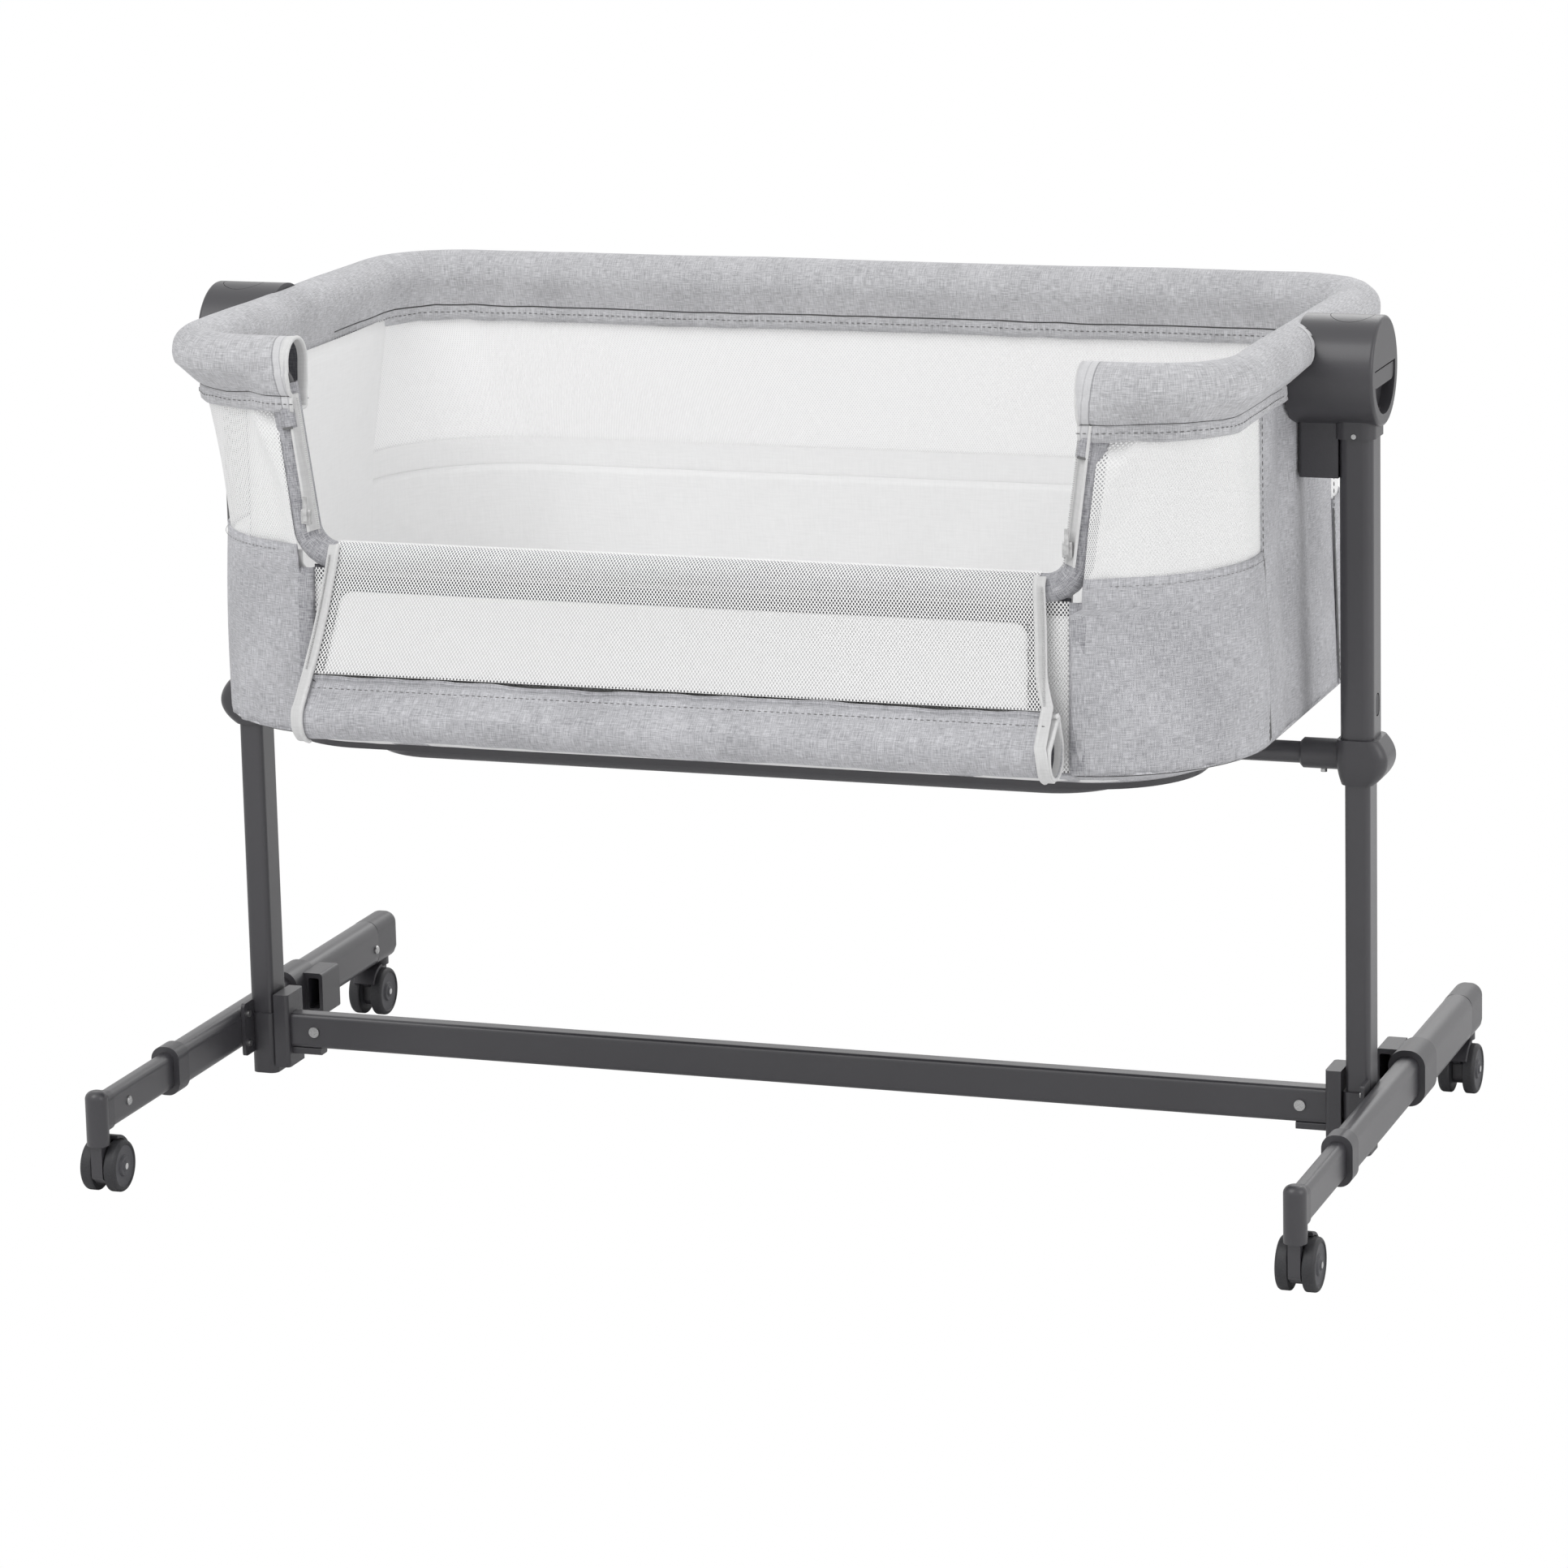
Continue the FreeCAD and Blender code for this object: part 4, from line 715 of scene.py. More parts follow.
# %% [markdown]
# Foam keeps the sleeve full, and it puckers in the bends. A cloth simulation could do that, but
# the wrinkles are small and regular, so two smooth curves press them in. The sleeve is held
# flat where the hub housings stand against it.

# %% Padded rim sleeve
def leg_swell(x, y, w, h):
    """How far the sleeve's lower part stands out round the drop leg at the end of a stub."""
    near = min(1.0, max(0.0, (338.0 - abs(x)) / 26.0)) if y < 0 else 0.0
    near = near * near * (3 - 2 * near)
    low = min(1.0, max(0.0, (-4.0 - h) / 16.0))
    return near * low * (13.5 if w > -6.0 else -4.5)


def sleeve_grid():
    turn = np.abs(np.gradient(np.unwrap(np.arctan2(rim_out[:, 1], rim_out[:, 0]))))
    turn = np.convolve(turn / turn.max(), np.ones(9) / 9, "same")
    grid = []
    for k, (p, o) in enumerate(zip(rim_points, rim_out)):
        line = []
        for w, h in section:
            low = min(1.0, max(0.0, (4 - h) / 30))
            fold = 0.35 * pucker(run_of[k] / 13.0 + h / 9.0) * (0.3 + low) * (0.6 + 2.2 * turn[k])
            fold += 0.45 * broad(run_of[k] / 46.0 + h / 30.0)
            reach = math.hypot(w, h)
            w = w + leg_swell(p[0], p[1], w, h)
            q = p + o * w * (1 + fold / reach) + np.array([0, 0, h * (1 + fold / reach)])
            side = 1 if q[0] > 0 else -1
            barrel = math.hypot(q[1], q[2] - HUB_Z)
            if abs(q[0]) > 390.5 and barrel < HUB_R + 0.6:
                limit = 398.2 if q[2] > 620 else 390.8
                q[0] = side * min(abs(q[0]), limit)
            line.append(q)
        grid.append(line)
    return grid


rim_surface = np.array(sleeve_grid())
rim = sheet_from("rim_sleeve_cloth", rim_surface, rim_cloth, 1.4, closed=True, offset=-1.0)
sewn(rim, replaces=("rim_sleeve",))
print("rim sleeve's pattern in mm:", [round(v / MM) for v in rim["flat"]])

# %% [markdown]
# Each open end of the sleeve is bound with a pale edge. One list of offsets shapes that edge,
# and it is used again on the side that folds down.

# %% Bound ends of the two stubs
BINDING = ((6.2, 0.3), (5.9, 1.0), (4.0, 1.2), (1.8, 1.0), (1.2, 1.5), (0.2, 1.7), (-0.7, 1.1),
           (-1.0, 0.1), (-0.6, -0.9), (1.5, -1.5), (6.0, -1.9))


def grown(shape, by):
    """The section grown outwards by a distance, along its own normals."""
    shape = np.asarray(shape, float)
    lead = np.roll(shape, -1, 0) - np.roll(shape, 1, 0)
    turn = np.sign((shape[:, 0] * lead[:, 1] - shape[:, 1] * lead[:, 0]).sum())
    normal = np.stack([lead[:, 1], -lead[:, 0]], 1) * turn
    return shape + normal / np.linalg.norm(normal, axis=1)[:, None] * by


def bound_end(part, hand, at, shape, middle, depths, body="upper_frame"):
    """A pale bound edge round a sleeve's open end, and its throat inside in dark cloth: painted shade within
    the sleeve.
    """
    grid = [at(back, grown(shape, grow)) for back, grow in BINDING]
    sewn(sheet_from(part + "_binding_" + hand, grid, zip_tape, 0, closed=True), body)
    throat, middle = grown(shape, -1.6), np.array(middle)
    deep = [at(back, middle + (throat - middle) * k) for back, k in depths]
    # The throat is painted shade: dark cloth where the inside of the sleeve lies in shadow.
    sewn(sheet_from(part + "_throat_" + hand, deep, painted_shade_cloth, 0, closed=True), body)


for hand, rows in (("right", slice(0, 3)), ("left", slice(-3, None))):
    p, o = rim_points[rows][[0, -1]], rim_out[rows][0]
    if hand == "left":
        p = p[::-1]
    inward = (p[0] - p[1]) / np.linalg.norm(p[0] - p[1])
    opened = [(w + leg_swell(p[0][0], -1, w, h), h) for w, h in section]
    at = lambda back, shape: [p[0] - inward * back + o * w + np.array([0, 0, h]) for w, h in shape]
    bound_end("stub", hand, at, opened, (-2.0, -4.0), ((5.8, 1.0), (9, 0.95), (18, 0.75), (26, 0.35)))
print("rim sleeve made:", len(rim_points), "sections")

# %% [markdown]
# Below each stub the rim tube drops to a low rail in front. The same cloth is rolled round it,
# and a pale zip tape runs down each leg on the side of the opening.

# %% Rolls round the drop legs and the low rail
RAIL_Z, ROLL = 482.0, 10.4
LEG_BEND = 26
leg_line = polyline([(OPEN_TOP - 1.6, -RIM_Y, 608), (OPEN_LOW, -RIM_Y, RAIL_Z),
                     (-OPEN_LOW, -RIM_Y, RAIL_Z), (-OPEN_TOP + 1.6, -RIM_Y, 608)], [LEG_BEND] * 2)
front = [(0, -1, 0)] * len(leg_line)
roll = follow("edge_roll", leg_line, front, circle(ROLL, 26), strip_cloth, thick=0.8, offset=-1.0)
sewn(roll)

def tape_route(side, top_z, low_z):
    """The line of the zip tape down a drop leg, between two heights."""
    line = polyline([(side * (OPEN_TOP - 2.6), -RIM_Y, top_z), (side * OPEN_LOW, -RIM_Y, RAIL_Z - 1),
                     (side * (OPEN_LOW - 40), -RIM_Y, RAIL_Z - 1)], [LEG_BEND])
    return line[line[:, 2] > low_z]


for side, hand in SIDES:
    tape_line = tape_route(side, 600, 496)
    lead = np.gradient(tape_line, axis=0)
    inward = [(-side * abs(t[2]), 0, -abs(t[0])) for t in lead]
    turn_in = 0.5 if side > 0 else 0.8
    aims = [np.array(a, float) / np.linalg.norm(a) * turn_in + np.array([0, turn_in - 1.36, 0])
            for a in inward]
    shape = [(ROLL + a, -side * b) for a, b in ((0.3, -4.6), (1.0, -4.2), (1.0, 4.4), (2.0, 4.8),
                                                (2.3, 6.2), (1.2, 7.0), (0.2, 6.2), (0.0, 4.0))]
    sewn(follow("edge_tape_" + hand, tape_line, aims, shape, zip_tape))
print("edge rolls and tapes made")

# %% [markdown]
# Narrow strips edge the lower corners of the opening and a small tab is stitched under each
# stub. Below the opening, net and white linings close the front, one behind the other.

# %% Gusset strips, tabs and the low front wall
for side, hand in SIDES:
    grid = []
    for i in range(30):
        z = 351.0 + 123.0 * i / 29
        line = []
        for j, (across, lift) in enumerate(((0.0, -1.5), (0.2, 1.6), (2.0, 2.4), (6.0, 2.2), (10.5, 2.3),
                                            (11.8, 1.6), (12.2, 0.4))):
            p, n = wall(side * q_front(285.5 + across, z), z)
            line.append(p + n * lift)
        grid.append(line)
    sewn(sheet_from("gusset_strip_" + hand, grid, strip_cloth, 1.0))

    grid = []
    for k in range(7):
        z = 591.0 - 15.0 * k / 6
        x = side * (OPEN_TOP - 4.0 - 0.13 * (608 - z))
        grid.append([(x + side * a, -RIM_Y - b, z - 1.5 * (k / 6) * (a / 6))
                     for a, b in ((-7.0, 9.5), (-5, 11.8), (-1, 12.7), (2, 12.2), (3.4, 11.0))])
    sewn(sheet_from("stub_tab_" + hand, grid, strip_cloth, 1.0))
    x = side * (OPEN_TOP - 4.0 - 0.13 * 31)
    bar = [(x - side * 5.0, -RIM_Y - 12.6, 577.6), (x - side, -RIM_Y - 13.4, 577.0),
           (x + side * 2.4, -RIM_Y - 12.9, 576.4)]
    sewn(follow("bar_tack_" + hand, bar, [(0, -1, 0)] * 3, circle(0.9, 8), thread))

low_edges = lambda z: (-q_front(286.0, z), q_front(286.0, z))
panel("front_apron", wall_grid(low_edges, LOW, 474.0, 140, 20, 0.6), front_net, 0, ("front_lower_wall",))
panel("front_foot", wall_grid(low_edges, FLOOR, LOW, 100, 5), grey_cloth, 1.6)
panel("front_lining", wall_grid(low_edges, LINING_Z, 463.5, 100, 12, 2.0), lining, 0.4)
# A dark strip behind the net's top edge: painted shade in the gap below the roll.
panel("front_margin", wall_grid(low_edges, 460.0, 476.0, 100, 3, 3.0), painted_shade_cloth, 0.4)
panel("front_inner_lining", wall_grid(low_edges, LINING_Z, 478.0, 100, 12, 7.5), lining, 0.8)
print("low front wall made")

# %% [markdown]
# A dark piping closes the lower edge of the walls all the way round.

# %% Lower piping
def piping_line():
    points, out = [], []
    for q in np.linspace(q_front(289, LOW), 10 - q_front(289, LOW), 260):
        p, n = wall(q, LOW - 0.6, -0.8)
        points.append(p)
        out.append(n)
    return points, out


points, out = piping_line()
sewn(follow("lower_piping", points, out, circle(1.1, 8), piping_and_crease_shade))
print("piping points:", len(points))

# %% [markdown]
# The side that folds down hangs from its fold: a net with a white lining behind it, zip tapes
# down both edges, and an empty sleeve at its foot that closes over the rim when it is up.

# %% Drop side: net, lining and margins
FOLD_Y, FOLD_Z = -232.0, 496.5
DROP_Y, DROP_Z = 2 * FOLD_Y + RIM_Y, 2 * FOLD_Z - RIM_Z
LEFT_EDGE, RIGHT_EDGE, SLEEVE_ENDS = (270.0, 288.5), (268.5, 272.0), (-290.0, 281.0)
PANEL_TOP, HEM_DROP = 485.0, 28.0
HANG = DROP_Z + HEM_DROP
OVER = ROLL + 1.2
flutter = wave(41, 3)


def drop_point(x_share, t, lift=0.0):
    """A point of the hanging panel: x_share from -1 to 1, t from the roll down, lift forwards.
    With t below 0 the point goes back over the roll, a full -1 being its rear top."""
    edge = RIGHT_EDGE if x_share > 0 else LEFT_EDGE
    x = x_share * (edge[0] + (edge[1] - edge[0]) * max(t, 0.0))
    if t < 0:
        turn = math.radians(15 - 95 * t)
        return np.array([x, -RIM_Y - (OVER + lift) * math.cos(turn), RAIL_Z + (OVER + lift) * math.sin(turn)])
    z = PANEL_TOP + (HANG + 2 - PANEL_TOP) * t
    y = -229.2 + (DROP_Y + 6 + 229.2) * t + 2.5 * math.sin(math.pi * t) - lift
    return np.array([x, y + 0.5 * flutter(5 * x_share) * math.sin(math.pi * t), z])


def drop_grid(half, steps, lift, cols=121, corner=0.0):
    """Rows across the panel at the given t; `corner` rounds the two upper corners, in mm."""
    grid = []
    for t in steps:
        down = (t - steps[0]) * (PANEL_TOP - HANG)
        gap = corner - math.sqrt(max(0.0, corner ** 2 - (corner - down) ** 2)) if down < corner else 0.0
        share = half - gap / RIGHT_EDGE[0]
        grid.append([drop_point(share * (-1 + 2 * j / (cols - 1)), t, lift) for j in range(cols)])
    return grid


over_and_down = np.r_[np.linspace(-1, -0.12, 9), np.linspace(0, 1, 30)]
face = panel("drop_net", drop_grid(0.985, over_and_down, 0.0, 161), front_net, 0, ("drop_panel",), "hung",
             None)
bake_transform(face)
hem_rows = np.r_[0.31, 0.313, 0.32, 0.33, np.linspace(0.35, 0.99, 30)]
on_panel = {"held": "hung", "body": "drop_side"}
panel("drop_lining", drop_grid(0.950, hem_rows, -0.8, 121, 9.0), front_white, 0.4, **on_panel)
# Dark strips behind the net along its top and sides: painted shade on the grey cloth there.
panel("drop_margin_top", drop_grid(0.985, np.linspace(0.17, 0.34, 5), -1.6), painted_shade_cloth, 0.4, **on_panel)
for side, hand in SIDES:
    grid = [[drop_point(side * share, t, -1.6) for share in np.linspace(0.985, 0.935, 6)]
            for t in np.linspace(0.34, 0.99, 18)]
    panel("drop_margin_" + hand, grid, painted_shade_cloth, 0.4, **on_panel)
panel("drop_net_outer", drop_grid(0.985, np.linspace(0.17, 0.99, 24), -2.6), front_net, **on_panel)
print("drop panel made")

# %% [markdown]
# The sleeve at the panel's foot is empty, so it is the rim's teardrop again: smaller, upside
# down and with a flatter hem.

# %% Drop side: sleeve at its foot
low_section = teardrop(r=16.4, drop=HEM_DROP, hem=1.8, band=3.0)
hang_at = lambda x, shape: [(x, DROP_Y - w, DROP_Z - h) for w, h in shape]
grid = []
for i in range(141):
    x = SLEEVE_ENDS[0] + (SLEEVE_ENDS[1] - SLEEVE_ENDS[0]) * i / 140
    folds = [0.6 * broad(x / 42.0 + h / 20.0) + 0.3 * pucker(x / 12.0 + h / 9) for w, h in low_section]
    grid.append(hang_at(x, [(w * (1 + f / 16), h * (1 + f / 16)) for f, (w, h) in zip(folds, low_section)]))
sleeve = sheet_from("drop_sleeve_cloth", grid, grey_cloth, 1.2, closed=True, offset=-1.0)
sewn(sleeve, "drop_side", replaces=("drop_sleeve",))

# %% [markdown]
# The sleeve's ends are bound like the stubs, and a tape runs down each edge of the panel and
# round the sleeve's end. Both are swept along points, so they follow the panel's own curve.

# %% Drop side: bound ends and the tapes that carry the zip
for side, hand in SIDES:
    tip = SLEEVE_ENDS[1] if side > 0 else SLEEVE_ENDS[0]
    bound_end("drop", hand, lambda back, shape: hang_at(tip - side * back, shape), low_section, (0.0, 2.0),
              ((5.8, 1.0), (9, 0.93), (18, 0.75), (28, 0.3)), "drop_side")

    edge = [drop_point(side * 0.985, t, 0.8) + np.array([side, 0, 0]) for t in np.linspace(-0.35, 0.97, 40)]
    toward_tip = tip - side * 4.6 - edge[-1][0]
    wrap = [np.array([edge[-1][0], DROP_Y - 18.0 * math.cos(a), DROP_Z + 18.0 * math.sin(a)])
            for a in np.radians(np.linspace(28, -80, 16))]
    points = np.array(edge + wrap)
    share = np.clip((np.arange(len(points)) - 30) / 16, 0, 1)
    points[:, 0] += toward_tip * share * share * (3 - 2 * share)
    facing = [(0, -1, 0.3 if p[2] > 484 else 0) for p in edge] + [
        (0, -(DROP_Y - q[1]) / 18.0, (q[2] - DROP_Z) / 18.0) for q in wrap]
    shape = [(a, side * b) for a, b in ((0.6, -4.4), (1.2, -3.9), (1.2, 1.0), (2.0, 1.4), (2.4, 2.8),
                                        (1.6, 4.2), (0.2, 4.5), (-0.4, 3.6), (-0.4, -4.2))]
    sewn(follow("drop_tape_" + hand, points, facing, shape, zip_tape), "drop_side")
print("drop sleeve made")

# %% [markdown]
# Stitches, crease cords and zip teeth repeat along a line. One Geometry Nodes tree spaces a
# short thread along any line; its inputs are the pitch, the thread's length and radius, the
# share by which the lengths vary, the seed and the thread's material.

# %% Rows of stitches and teeth
def new_tree(name, **inputs):
    """A node group with a geometry input and output, and the given named inputs."""
    tree = bpy.data.node_groups.new(name, "GeometryNodeTree")
    face = tree.interface
    face.new_socket("Geometry", in_out="INPUT", socket_type="NodeSocketGeometry")
    for label, (kind, value) in inputs.items():
        socket = face.new_socket(label, in_out="INPUT", socket_type="NodeSocket" + kind)
        if value is not None:
            socket.default_value = value
    face.new_socket("Geometry", in_out="OUTPUT", socket_type="NodeSocketGeometry")
    add = lambda kind, links=(), **settings: add_node(tree, kind, links, **settings).outputs
    return tree, add, add("NodeGroupInput")


def end_tree(add, shape, material):
    """Every tree ends in Realize Instances and Set Material, which the export needs."""
    real = add("GeometryNodeRealizeInstances", {0: shape})[0]
    add("NodeGroupOutput", {0: add("GeometryNodeSetMaterial", {"Geometry": real, "Material": material})[0]})


def row_tree():
    tree, add, given = new_tree("row_of_threads", Pitch=("Float", 0.005), Length=("Float", 0.0035),
                                Radius=("Float", 0.0004), Vary=("Float", 0.12), Seed=("Int", 7),
                                Thread=("Material", None))
    math_node = lambda operation, a, b: add("ShaderNodeMath", {0: a, 1: b}, operation=operation)[0]
    line = add("GeometryNodeMeshToCurve", {"Mesh": given["Geometry"]})[0]
    spaced = add("GeometryNodeResampleCurve", {"Curve": line, "Length": given["Pitch"]}, mode="LENGTH")[0]
    bead = add("GeometryNodeMeshUVSphere", {"Segments": 6, "Rings": 4, "Radius": 1.0})[0]
    along = add("GeometryNodeInputTangent")[0]
    turn = add("FunctionNodeAlignRotationToVector", {"Vector": along}, axis="Z")[0]
    half = math_node("MULTIPLY", given["Length"], 0.5)
    size = add("ShaderNodeCombineXYZ", {0: given["Radius"], 1: given["Radius"], 2: half})[0]
    vary = add("FunctionNodeRandomValue", {2: math_node("SUBTRACT", 1.0, given["Vary"]),
                                           3: math_node("ADD", 1.0, given["Vary"]),
                                           "Seed": given["Seed"]}, data_type="FLOAT")[1]
    scaled = add("ShaderNodeVectorMath", {0: size, "Scale": vary}, operation="SCALE")[0]
    placed = add("GeometryNodeInstanceOnPoints", {"Points": spaced, "Instance": bead, "Rotation": turn,
                                                  "Scale": scaled})[0]
    end_tree(add, placed, given["Thread"])
    return tree


# %% [markdown]
# The tree runs on a bare line of edges. The result is baked to a plain mesh, one for each body,
# before the piece is attached to that body.

# %% Stitches along a line
def grow_on(name, lines, tree, values):
    """A tree run on lines of points in mm; `values` are its named inputs."""
    points, edges = [], []
    for line in lines:
        base = len(points)
        points += [tuple(np.asarray(p, float) * MM) for p in line]
        edges += [(base + k, base + k + 1) for k in range(len(line) - 1)]
    mesh = bpy.data.meshes.new(name)
    mesh.from_pydata(points, edges, [])
    piece = link(mesh, name)
    nodes = piece.modifiers.new("nodes", "NODES")
    nodes.node_group = tree
    for item in tree.interface.items_tree:
        if item.item_type == "SOCKET" and item.in_out == "INPUT" and item.name in values:
            nodes[item.identifier] = values[item.name]
    piece.update_tag()
    return piece


threads = row_tree()


def stitch_row(name, lines, material, pitch=5.0, length=3.4, radius=0.45, body="upper_frame", seed=7):
    """Threads along lines of points in mm."""
    piece = grow_on(name, lines, threads, {"Pitch": pitch * MM, "Length": length * MM,
                                           "Radius": radius * MM, "Seed": seed, "Thread": material})
    bake(piece)
    return sewn(piece, body)


def rim_run(w, h, lift=1.7):
    """A line along the rim's sleeve at a place of its section, clear of the hubs."""
    column = int(np.argmin(np.hypot(section[:, 0] - w, section[:, 1] - h)))
    way = 1 if w > -6 else -1
    lines, line = [], []
    for p, o, place in zip(rim_points, rim_out, rim_surface[:, column]):
        if abs(p[0]) > 370 and abs(p[1]) < 56:
            lines, line = (lines + [line] if len(line) > 3 else lines), []
        else:
            line.append(place + o * way * lift)
    return lines + [line]


# %% [markdown]
# The rim's hem, the upright seams, the top of the band, the drop side's sleeve and its margins
# are all top-stitched. A thin dark cord in the rim's creases and beside each upright seam is
# painted shade in the crease.

# %% Rows of stitches on the cloth
LIP, ROW = (-2.8, -23.6), (-1.8, -29.5)
stitch_row("rim_hem_stitches", rim_run(*ROW), thread, 4.6, 3.0, 0.38)
stitch_row("rim_hem_stitches_inside", rim_run(-10.0, -29.5), thread, 4.6, 3.0, 0.38)
# Dark cords in the rim's two creases: painted shade along each crease.
for k, line in enumerate(rim_run(*LIP, 1.4) + rim_run(-9.6, -24.0, 1.4)):
    sewn(follow("rim_crease_shade_%d" % k, line, [(0, 0, 1)] * len(line), circle(0.6, 6), piping_and_crease_shade))

BAND_ROW = 485.5
seams, bands = [], []
for side in (1, -1):
    for rear in (1, -1):
        line = []
        for z in np.linspace(356, 586, 60):
            p, n = wall(side * q_end(rear * (SEAM_Y + 2.2), z), z)
            line.append(p + n * 1.5)
        seams.append(line)
    line = []
    for q in np.linspace(q_front(300, BAND_ROW), q_end(-SEAM_Y, BAND_ROW), 70):
        p, n = wall(side * q, BAND_ROW)
        line.append(p + n * 2.0)
    bands.append(line)
stitch_row("side_seam_stitches", seams, thread, 5.2, 3.4, 0.42)
stitch_row("band_stitches", bands, seam_shade, 4.6, 3.0, 0.3)
# Dark cords beside the upright seams: painted shade in the seam's crease.
for k, line in enumerate(seams):
    cord = [np.asarray(p) - np.array([0, 2.2 * np.sign(p[1]), 0]) for p in line if p[2] < 488]
    sewn(follow("side_seam_%d" % k, cord, [(1, 0, 0)] * len(cord), circle(0.6, 6), seam_shade))
sleeve_row = [(x, DROP_Y - 5.6, DROP_Z + HEM_DROP - 6.0)
              for x in np.linspace(SLEEVE_ENDS[0] + 8, SLEEVE_ENDS[1] - 8, 120)]
stitch_row("drop_sleeve_stitches", [sleeve_row], thread, 4.6, 3.0, 0.4, "drop_side")
panel_rows = [[drop_point(side * 0.952, t, 0.5) for t in np.linspace(0.31, 0.95, 30)] for side in (1, -1)]
stitch_row("drop_margin_stitches", panel_rows, zip_coil, 4.0, 2.6, 0.35, "drop_side")
print("stitches made")

# %% [markdown]
# A zip's coil is a row of very short threads side by side, so the tree for stitches makes it.

# %% Zip coils on the tapes
coils = {"upper_frame": [], "drop_side": []}
for side in (1, -1):
    aim = np.array([-side * (0.5 if side > 0 else 0.8), -0.86 if side > 0 else -0.6, 0])
    coils["upper_frame"].append([p + aim * (ROLL + 2.3) + np.array([-side * 2.4, 0, 0])
                                 for p in tape_route(side, 598, 498)])
    coils["drop_side"].append([drop_point(side * 0.985, t, 2.6) + np.array([side * 3.4, 0, 0])
                               for t in np.linspace(0.0, 0.95, 30)])
for body, lines in coils.items():
    stitch_row("zip_coil_" + body, lines, zip_coil, 1.5, 1.1, 0.9, body, 11)
print("zip coils made")

# %% [markdown]
# A pan-head screw on the inner face of each leg holds its end cap. Its head is turned: a second
# tree sweeps a circle along the screw's axis and scales it by the radius that each point of the
# axis carries, so one tree makes all four and each is baked for the leg that it rides on.

# %% Leg screws
HEAD_R, DOME, HEAD_SIDES = 3.6, 2.2, 16
PROFILE = ((1.0, -0.4 / DOME), (1.0, 0.35), (0.85, 0.7), (0.55, 0.93), (0.2, 1.0))


def head_tree():
    tree, add, given = new_tree("turned_head", Radius=("Float", 0.0036), Sides=("Int", 16),
                                Steel=("Material", None))
    axis = add("GeometryNodeMeshToCurve", {"Mesh": given["Geometry"]})[0]
    share = add("GeometryNodeInputNamedAttribute", {"Name": "share"}, data_type="FLOAT")[0]
    ring = add("GeometryNodeCurvePrimitiveCircle", {"Resolution": given["Sides"],
                                                    "Radius": given["Radius"]})[0]
    turned = add("GeometryNodeCurveToMesh", {"Curve": axis, "Profile Curve": ring, "Scale": share,
                                             "Fill Caps": True})[0]
    flat = add("GeometryNodeSetShadeSmooth", {"Geometry": turned, "Shade Smooth": False})[0]
    end_tree(add, flat, given["Steel"])
    return tree


heads = head_tree()


def leg_screw(name, leg, hand, along, up=0.5):
    """A head on the inner face of a leg tube, at shares of its length and its height."""
    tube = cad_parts["%s_tube_%s" % (leg, hand)]
    spots = np.array([v.co[:] for v in tube.data.vertices]) / MM
    low, high = spots.min(axis=0), spots.max(axis=0)
    face_x, out = (low[0], -1) if low[0] > 0 else (high[0], 1)
    middle = low + (high - low) * (0, along, up)
    axis = [(face_x + out * DOME * rise, middle[1], middle[2]) for share, rise in PROFILE]
    head = grow_on(name, [axis], heads, {"Radius": HEAD_R * MM, "Sides": HEAD_SIDES, "Steel": steel})
    shares = head.data.attributes.new("share", "FLOAT", "POINT")
    shares.data.foreach_set("value", [share for share, rise in PROFILE])
    mesh = bake(head)
    print(name, "faces:", len(mesh.polygons), "from", np.round(axis[0], 1))
    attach(head, "%s_%s" % (leg, hand))


for hand in ("left", "right"):
    leg_screw("front_leg_screw_" + hand, "front_leg", hand, 0.16)
    leg_screw("rear_leg_screw_" + hand, "rear_leg", hand, 0.97, 0.42)

# %% [markdown]
# Mattress: a thin foam pad in a quilted white cover.

# %% Mattress
def rounded_plan(hx, hy, r, count):
    points = []
    for k, (cx, cy) in enumerate(((1, -1), (1, 1), (-1, 1), (-1, -1))):
        for a in np.radians(np.linspace(-90 + 90 * k, 90 * k, count)):
            points.append((cx * (hx - r) + r * math.cos(a), cy * (hy - r) + r * math.sin(a)))
    return points


def mattress():
    shape = bmesh.new()
    rows = [(337.2, 343, 176, 70), (344, 380, 213, 107), (352, 387, 220, 114), (362, 387, 220, 114),
            (367.5, 380, 213, 107), (370.5, 368, 201, 95)]
    loops = [[shape.verts.new((x * MM, y * MM, z * MM)) for x, y in rounded_plan(hx, hy, r, 12)]
             for z, hx, hy, r in rows]
    for a, b in zip(loops, loops[1:]):
        for i in range(len(a)):
            k = (i + 1) % len(a)
            shape.faces.new((a[i], a[k], b[k], b[i]))
    shape.faces.new(list(reversed(loops[0])))
    shape.faces.new(loops[-1])
    bmesh.ops.recalc_face_normals(shape, faces=shape.faces)
    mesh = bpy.data.meshes.new("mattress_pad")
    shape.to_mesh(mesh)
    shape.free()
    return link(mesh, "mattress_pad")


# %% [markdown]
# A foam pad in a tight cover is slightly blown up. A short cloth simulation gives that crown,
# capped at a few millimetres, and the quilting is pressed in afterwards as crossing grooves.

# %% Crown and quilting
def puff(piece, pressure=4.0, cap_mm=4.0, frames=20):
    """Blow a pad up with a short cloth simulation and hold each point near its start."""
    fine = piece.modifiers.new("voxels", "REMESH")
    fine.mode, fine.voxel_size = "VOXEL", 6 * MM
    bpy.context.view_layer.update()
    start = np.array([v.co for v in bake(piece).vertices])
    cloth = piece.modifiers.new("cloth", "CLOTH")
    cloth.settings.use_pressure = True
    cloth.settings.uniform_pressure_force = pressure
    cloth.settings.effector_weights.gravity = 0.0
    for frame_now in range(1, frames + 1):
        bpy.context.scene.frame_set(frame_now)
    blown = bake(piece)
    moved = np.array([v.co for v in blown.vertices]) - start
    far = np.linalg.norm(moved, axis=1)[:, None]
    moved *= np.minimum(1.0, cap_mm * MM / np.maximum(far, 1e-9))
    blown.vertices.foreach_set("co", (start + moved).ravel())
    bpy.context.scene.frame_set(1)


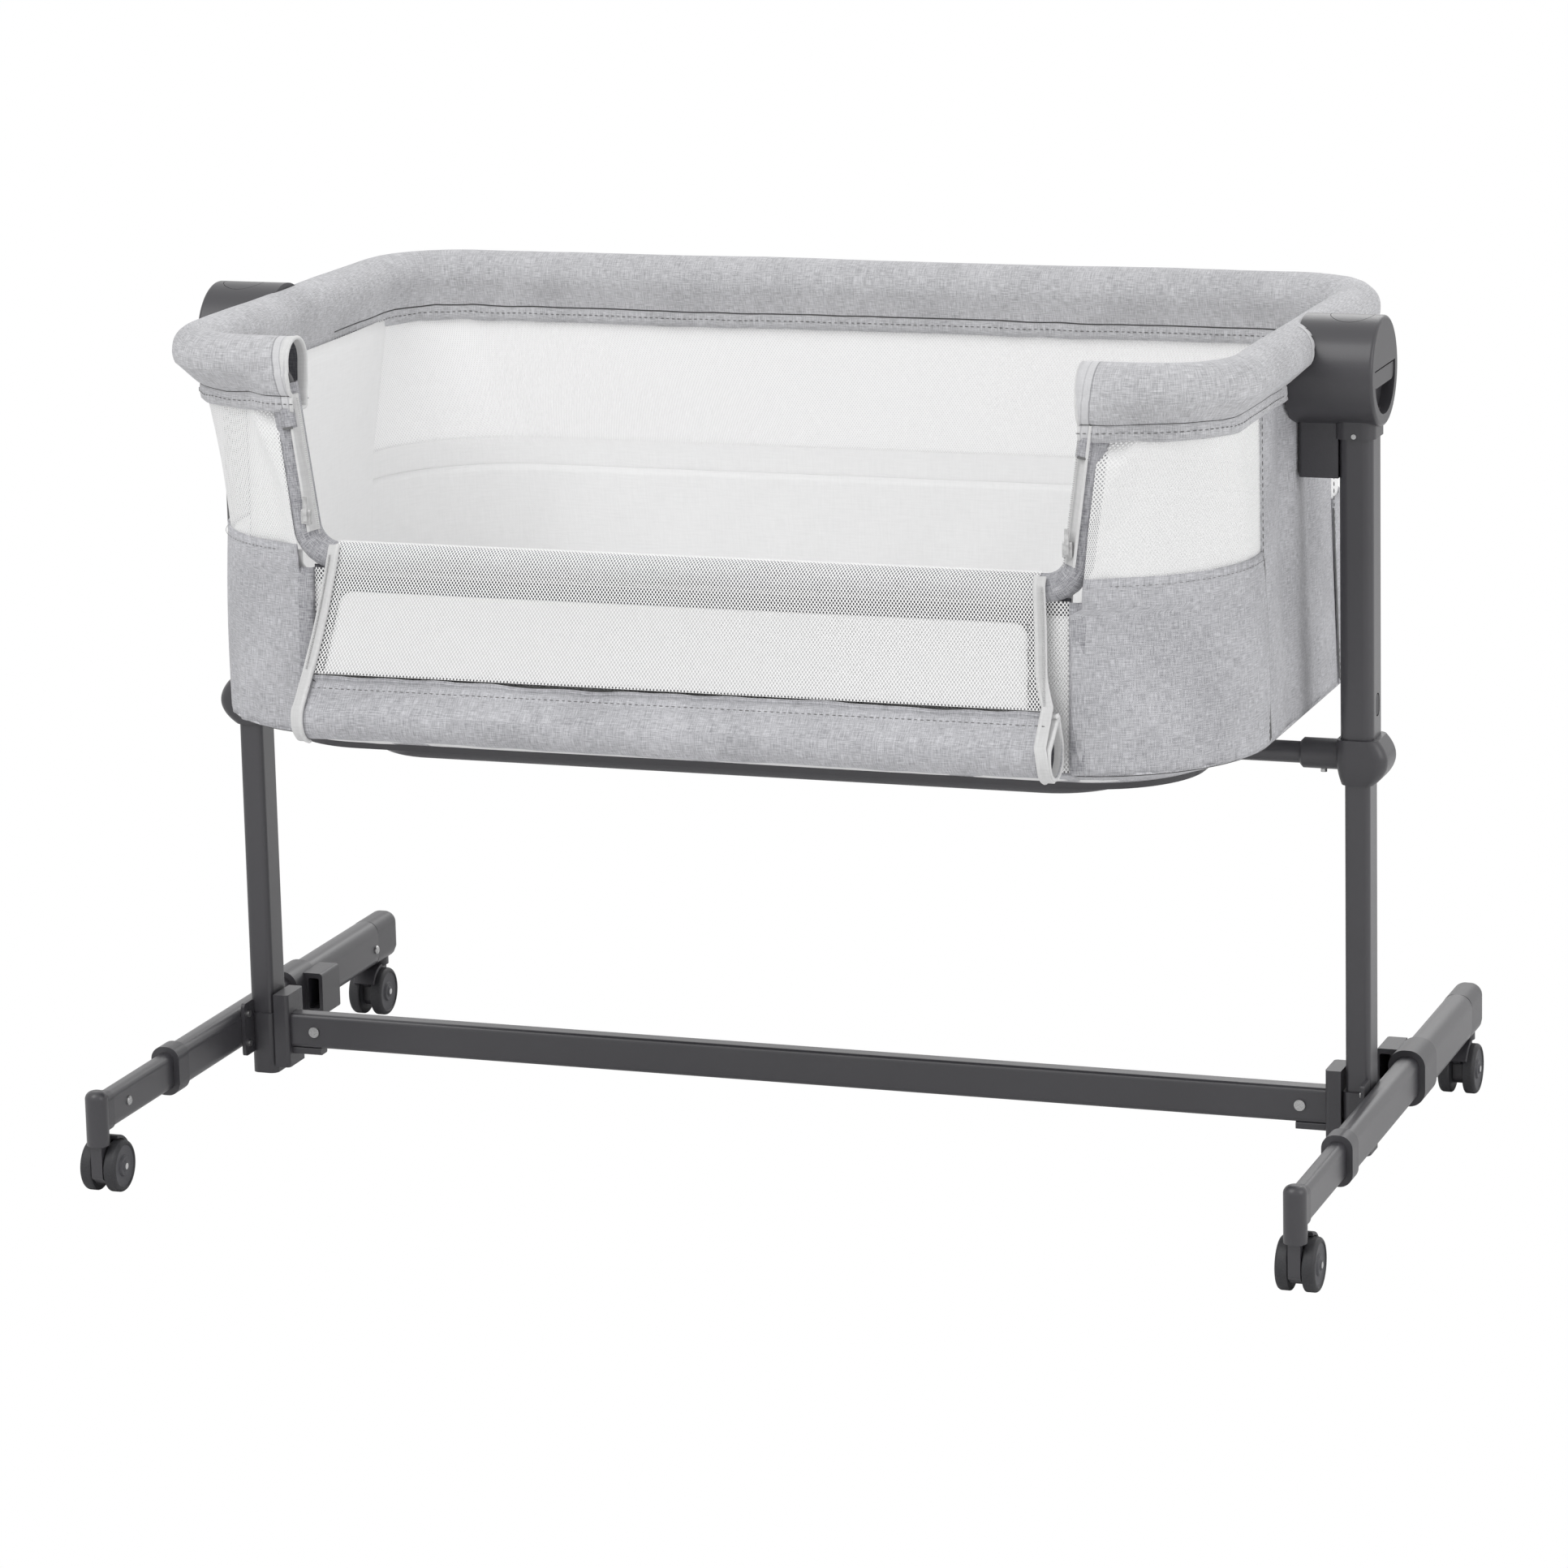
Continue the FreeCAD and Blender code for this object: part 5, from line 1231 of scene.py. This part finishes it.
def quilt(piece, pitch_mm=62.0, depth_mm=2.2):
    """Diamond quilting pressed into the upper face."""
    points = np.array([v.co for v in piece.data.vertices]) / MM
    for sign in (1, -1):
        across = (points[:, 0] + sign * points[:, 1]) / math.sqrt(2)
        off = np.abs((across / pitch_mm + 0.5) % 1 - 0.5) * pitch_mm
        points[:, 2] -= np.where(points[:, 2] > 362, depth_mm * np.exp(-(off / 5.0) ** 2), 0)
    points[:, 2] = np.minimum(points[:, 2], 373.5)
    piece.data.vertices.foreach_set("co", (points * MM).ravel())


pad = mattress()
puff(pad)
quilt(pad)
smooth = pad.modifiers.new("smooth", "SUBSURF")
smooth.levels = smooth.render_levels = 1
pad.data.materials.clear()
pad.data.materials.append(mattress_cover)
pad.data.polygons.foreach_set("use_smooth", [True] * len(pad.data.polygons))
sewn(pad, replaces=("mattress",))
print("mattress made")

# %% [markdown]
# A white floor and backdrop, broad soft lamps, and a long lens at the photograph's angle.

# %% Stage and light
def white_stage():
    f = Finish("studio_white", Roughness=0.9)
    f.set("Base Color", tone(245))
    seen = add_node(f.tree, "ShaderNodeLightPath").outputs[0]
    glow = f.node("ShaderNodeEmission", 0, {"Color": WHITE, "Strength": 1.0})
    mix = add_node(f.tree, "ShaderNodeMixShader", {0: seen, 1: f.shader.outputs[0], 2: glow})
    plug(f.tree, f.tree.nodes["Material Output"].inputs[0], mix.outputs[0])
    return f.material


mesh = bpy.data.meshes.new("studio_floor")
mesh.from_pydata([(x * 6, y * 6, 0) for x, y in ((-1, -1), (1, -1), (1, 1), (-1, 1))], [], [range(4)])
mesh.materials.append(white_stage())
floor = link(mesh, "studio_floor")

world = bpy.data.worlds.new("studio_air")
bpy.context.scene.world = world
world.use_nodes = True
air = world.node_tree
AMBIENT = 0.58
ray = add_node(air, "ShaderNodeLightPath").outputs
background = air.nodes["Background"]
plug(air, background.inputs["Color"], WHITE)
plug(air, background.inputs["Strength"], AMBIENT)
backdrop = add_node(air, "ShaderNodeBackground", {"Color": WHITE, "Strength": 1.0})
either = add_node(air, "ShaderNodeMath", {0: ray["Is Camera Ray"], 1: ray["Is Glossy Ray"]},
                  operation="MAXIMUM")
choose = add_node(air, "ShaderNodeMixShader", {0: either.outputs[0], 1: background.outputs[0],
                                               2: backdrop.outputs[0]})
plug(air, air.nodes["World Output"].inputs[0], choose.outputs[0])


def lamp(name, spot, target, size_m, power):
    light = bpy.data.lights.new(name, "AREA")
    light.size, light.energy = size_m, power
    thing = bpy.data.objects.new(name, light)
    bpy.context.collection.objects.link(thing)
    thing.location = spot
    thing.rotation_euler = Vector(np.subtract(target, spot)).to_track_quat("-Z", "Y").to_euler()


lamp("key_above", (-0.8, -1.8, 2.6), (0, 0, 0.4), 1.8, 36)
lamp("side_right", (2.6, -0.6, 1.4), (0.3, 0, 0.4), 1.6, 17)
lamp("back_fill", (0.3, 2.4, 2.2), (0, 0, 0.4), 1.8, 22)
print("lamps:", len(bpy.data.lights))

# %% [markdown]
# The lens was fitted to the photograph: a camera about 4.4 m away, turned and raised by the
# angles below, with the picture's centre moved to where the lens points.

# %% Camera
AZ, EL, TILT = math.radians(19.273), math.radians(11.725), math.radians(-1.311)
FRAME_PX, SENSOR = 1932, 36.0
TARGET, DISTANCE, FOCAL_PX = np.array([0, 0, 0.4]), 4.398, 7250.0
CENTRE_PX = (971.3, 768.2)
toward = np.array([math.sin(AZ) * math.cos(EL), -math.cos(AZ) * math.cos(EL), math.sin(EL)])
right = np.array([math.cos(AZ), math.sin(AZ), 0.0])
up = np.cross(toward, right)
c, s = math.cos(TILT), math.sin(TILT)
right, up = right * c + up * s, up * c - right * s
lens = bpy.data.cameras.new("camera")
lens.sensor_width, lens.lens = SENSOR, FOCAL_PX / FRAME_PX * SENSOR
lens.shift_x = -(CENTRE_PX[0] - FRAME_PX / 2) / FRAME_PX
lens.shift_y = (CENTRE_PX[1] - FRAME_PX / 2) / FRAME_PX
lens.clip_end = 60
eye = bpy.data.objects.new("camera", lens)
bpy.context.collection.objects.link(eye)
spot = TARGET + toward * DISTANCE
eye.matrix_world = Matrix([[right[0], up[0], toward[0], spot[0]], [right[1], up[1], toward[1], spot[1]],
                           [right[2], up[2], toward[2], spot[2]], [0, 0, 0, 1]])
bpy.context.scene.camera = eye
bpy.context.scene.view_settings.view_transform = "Standard"
print("pieces made:", len(made))
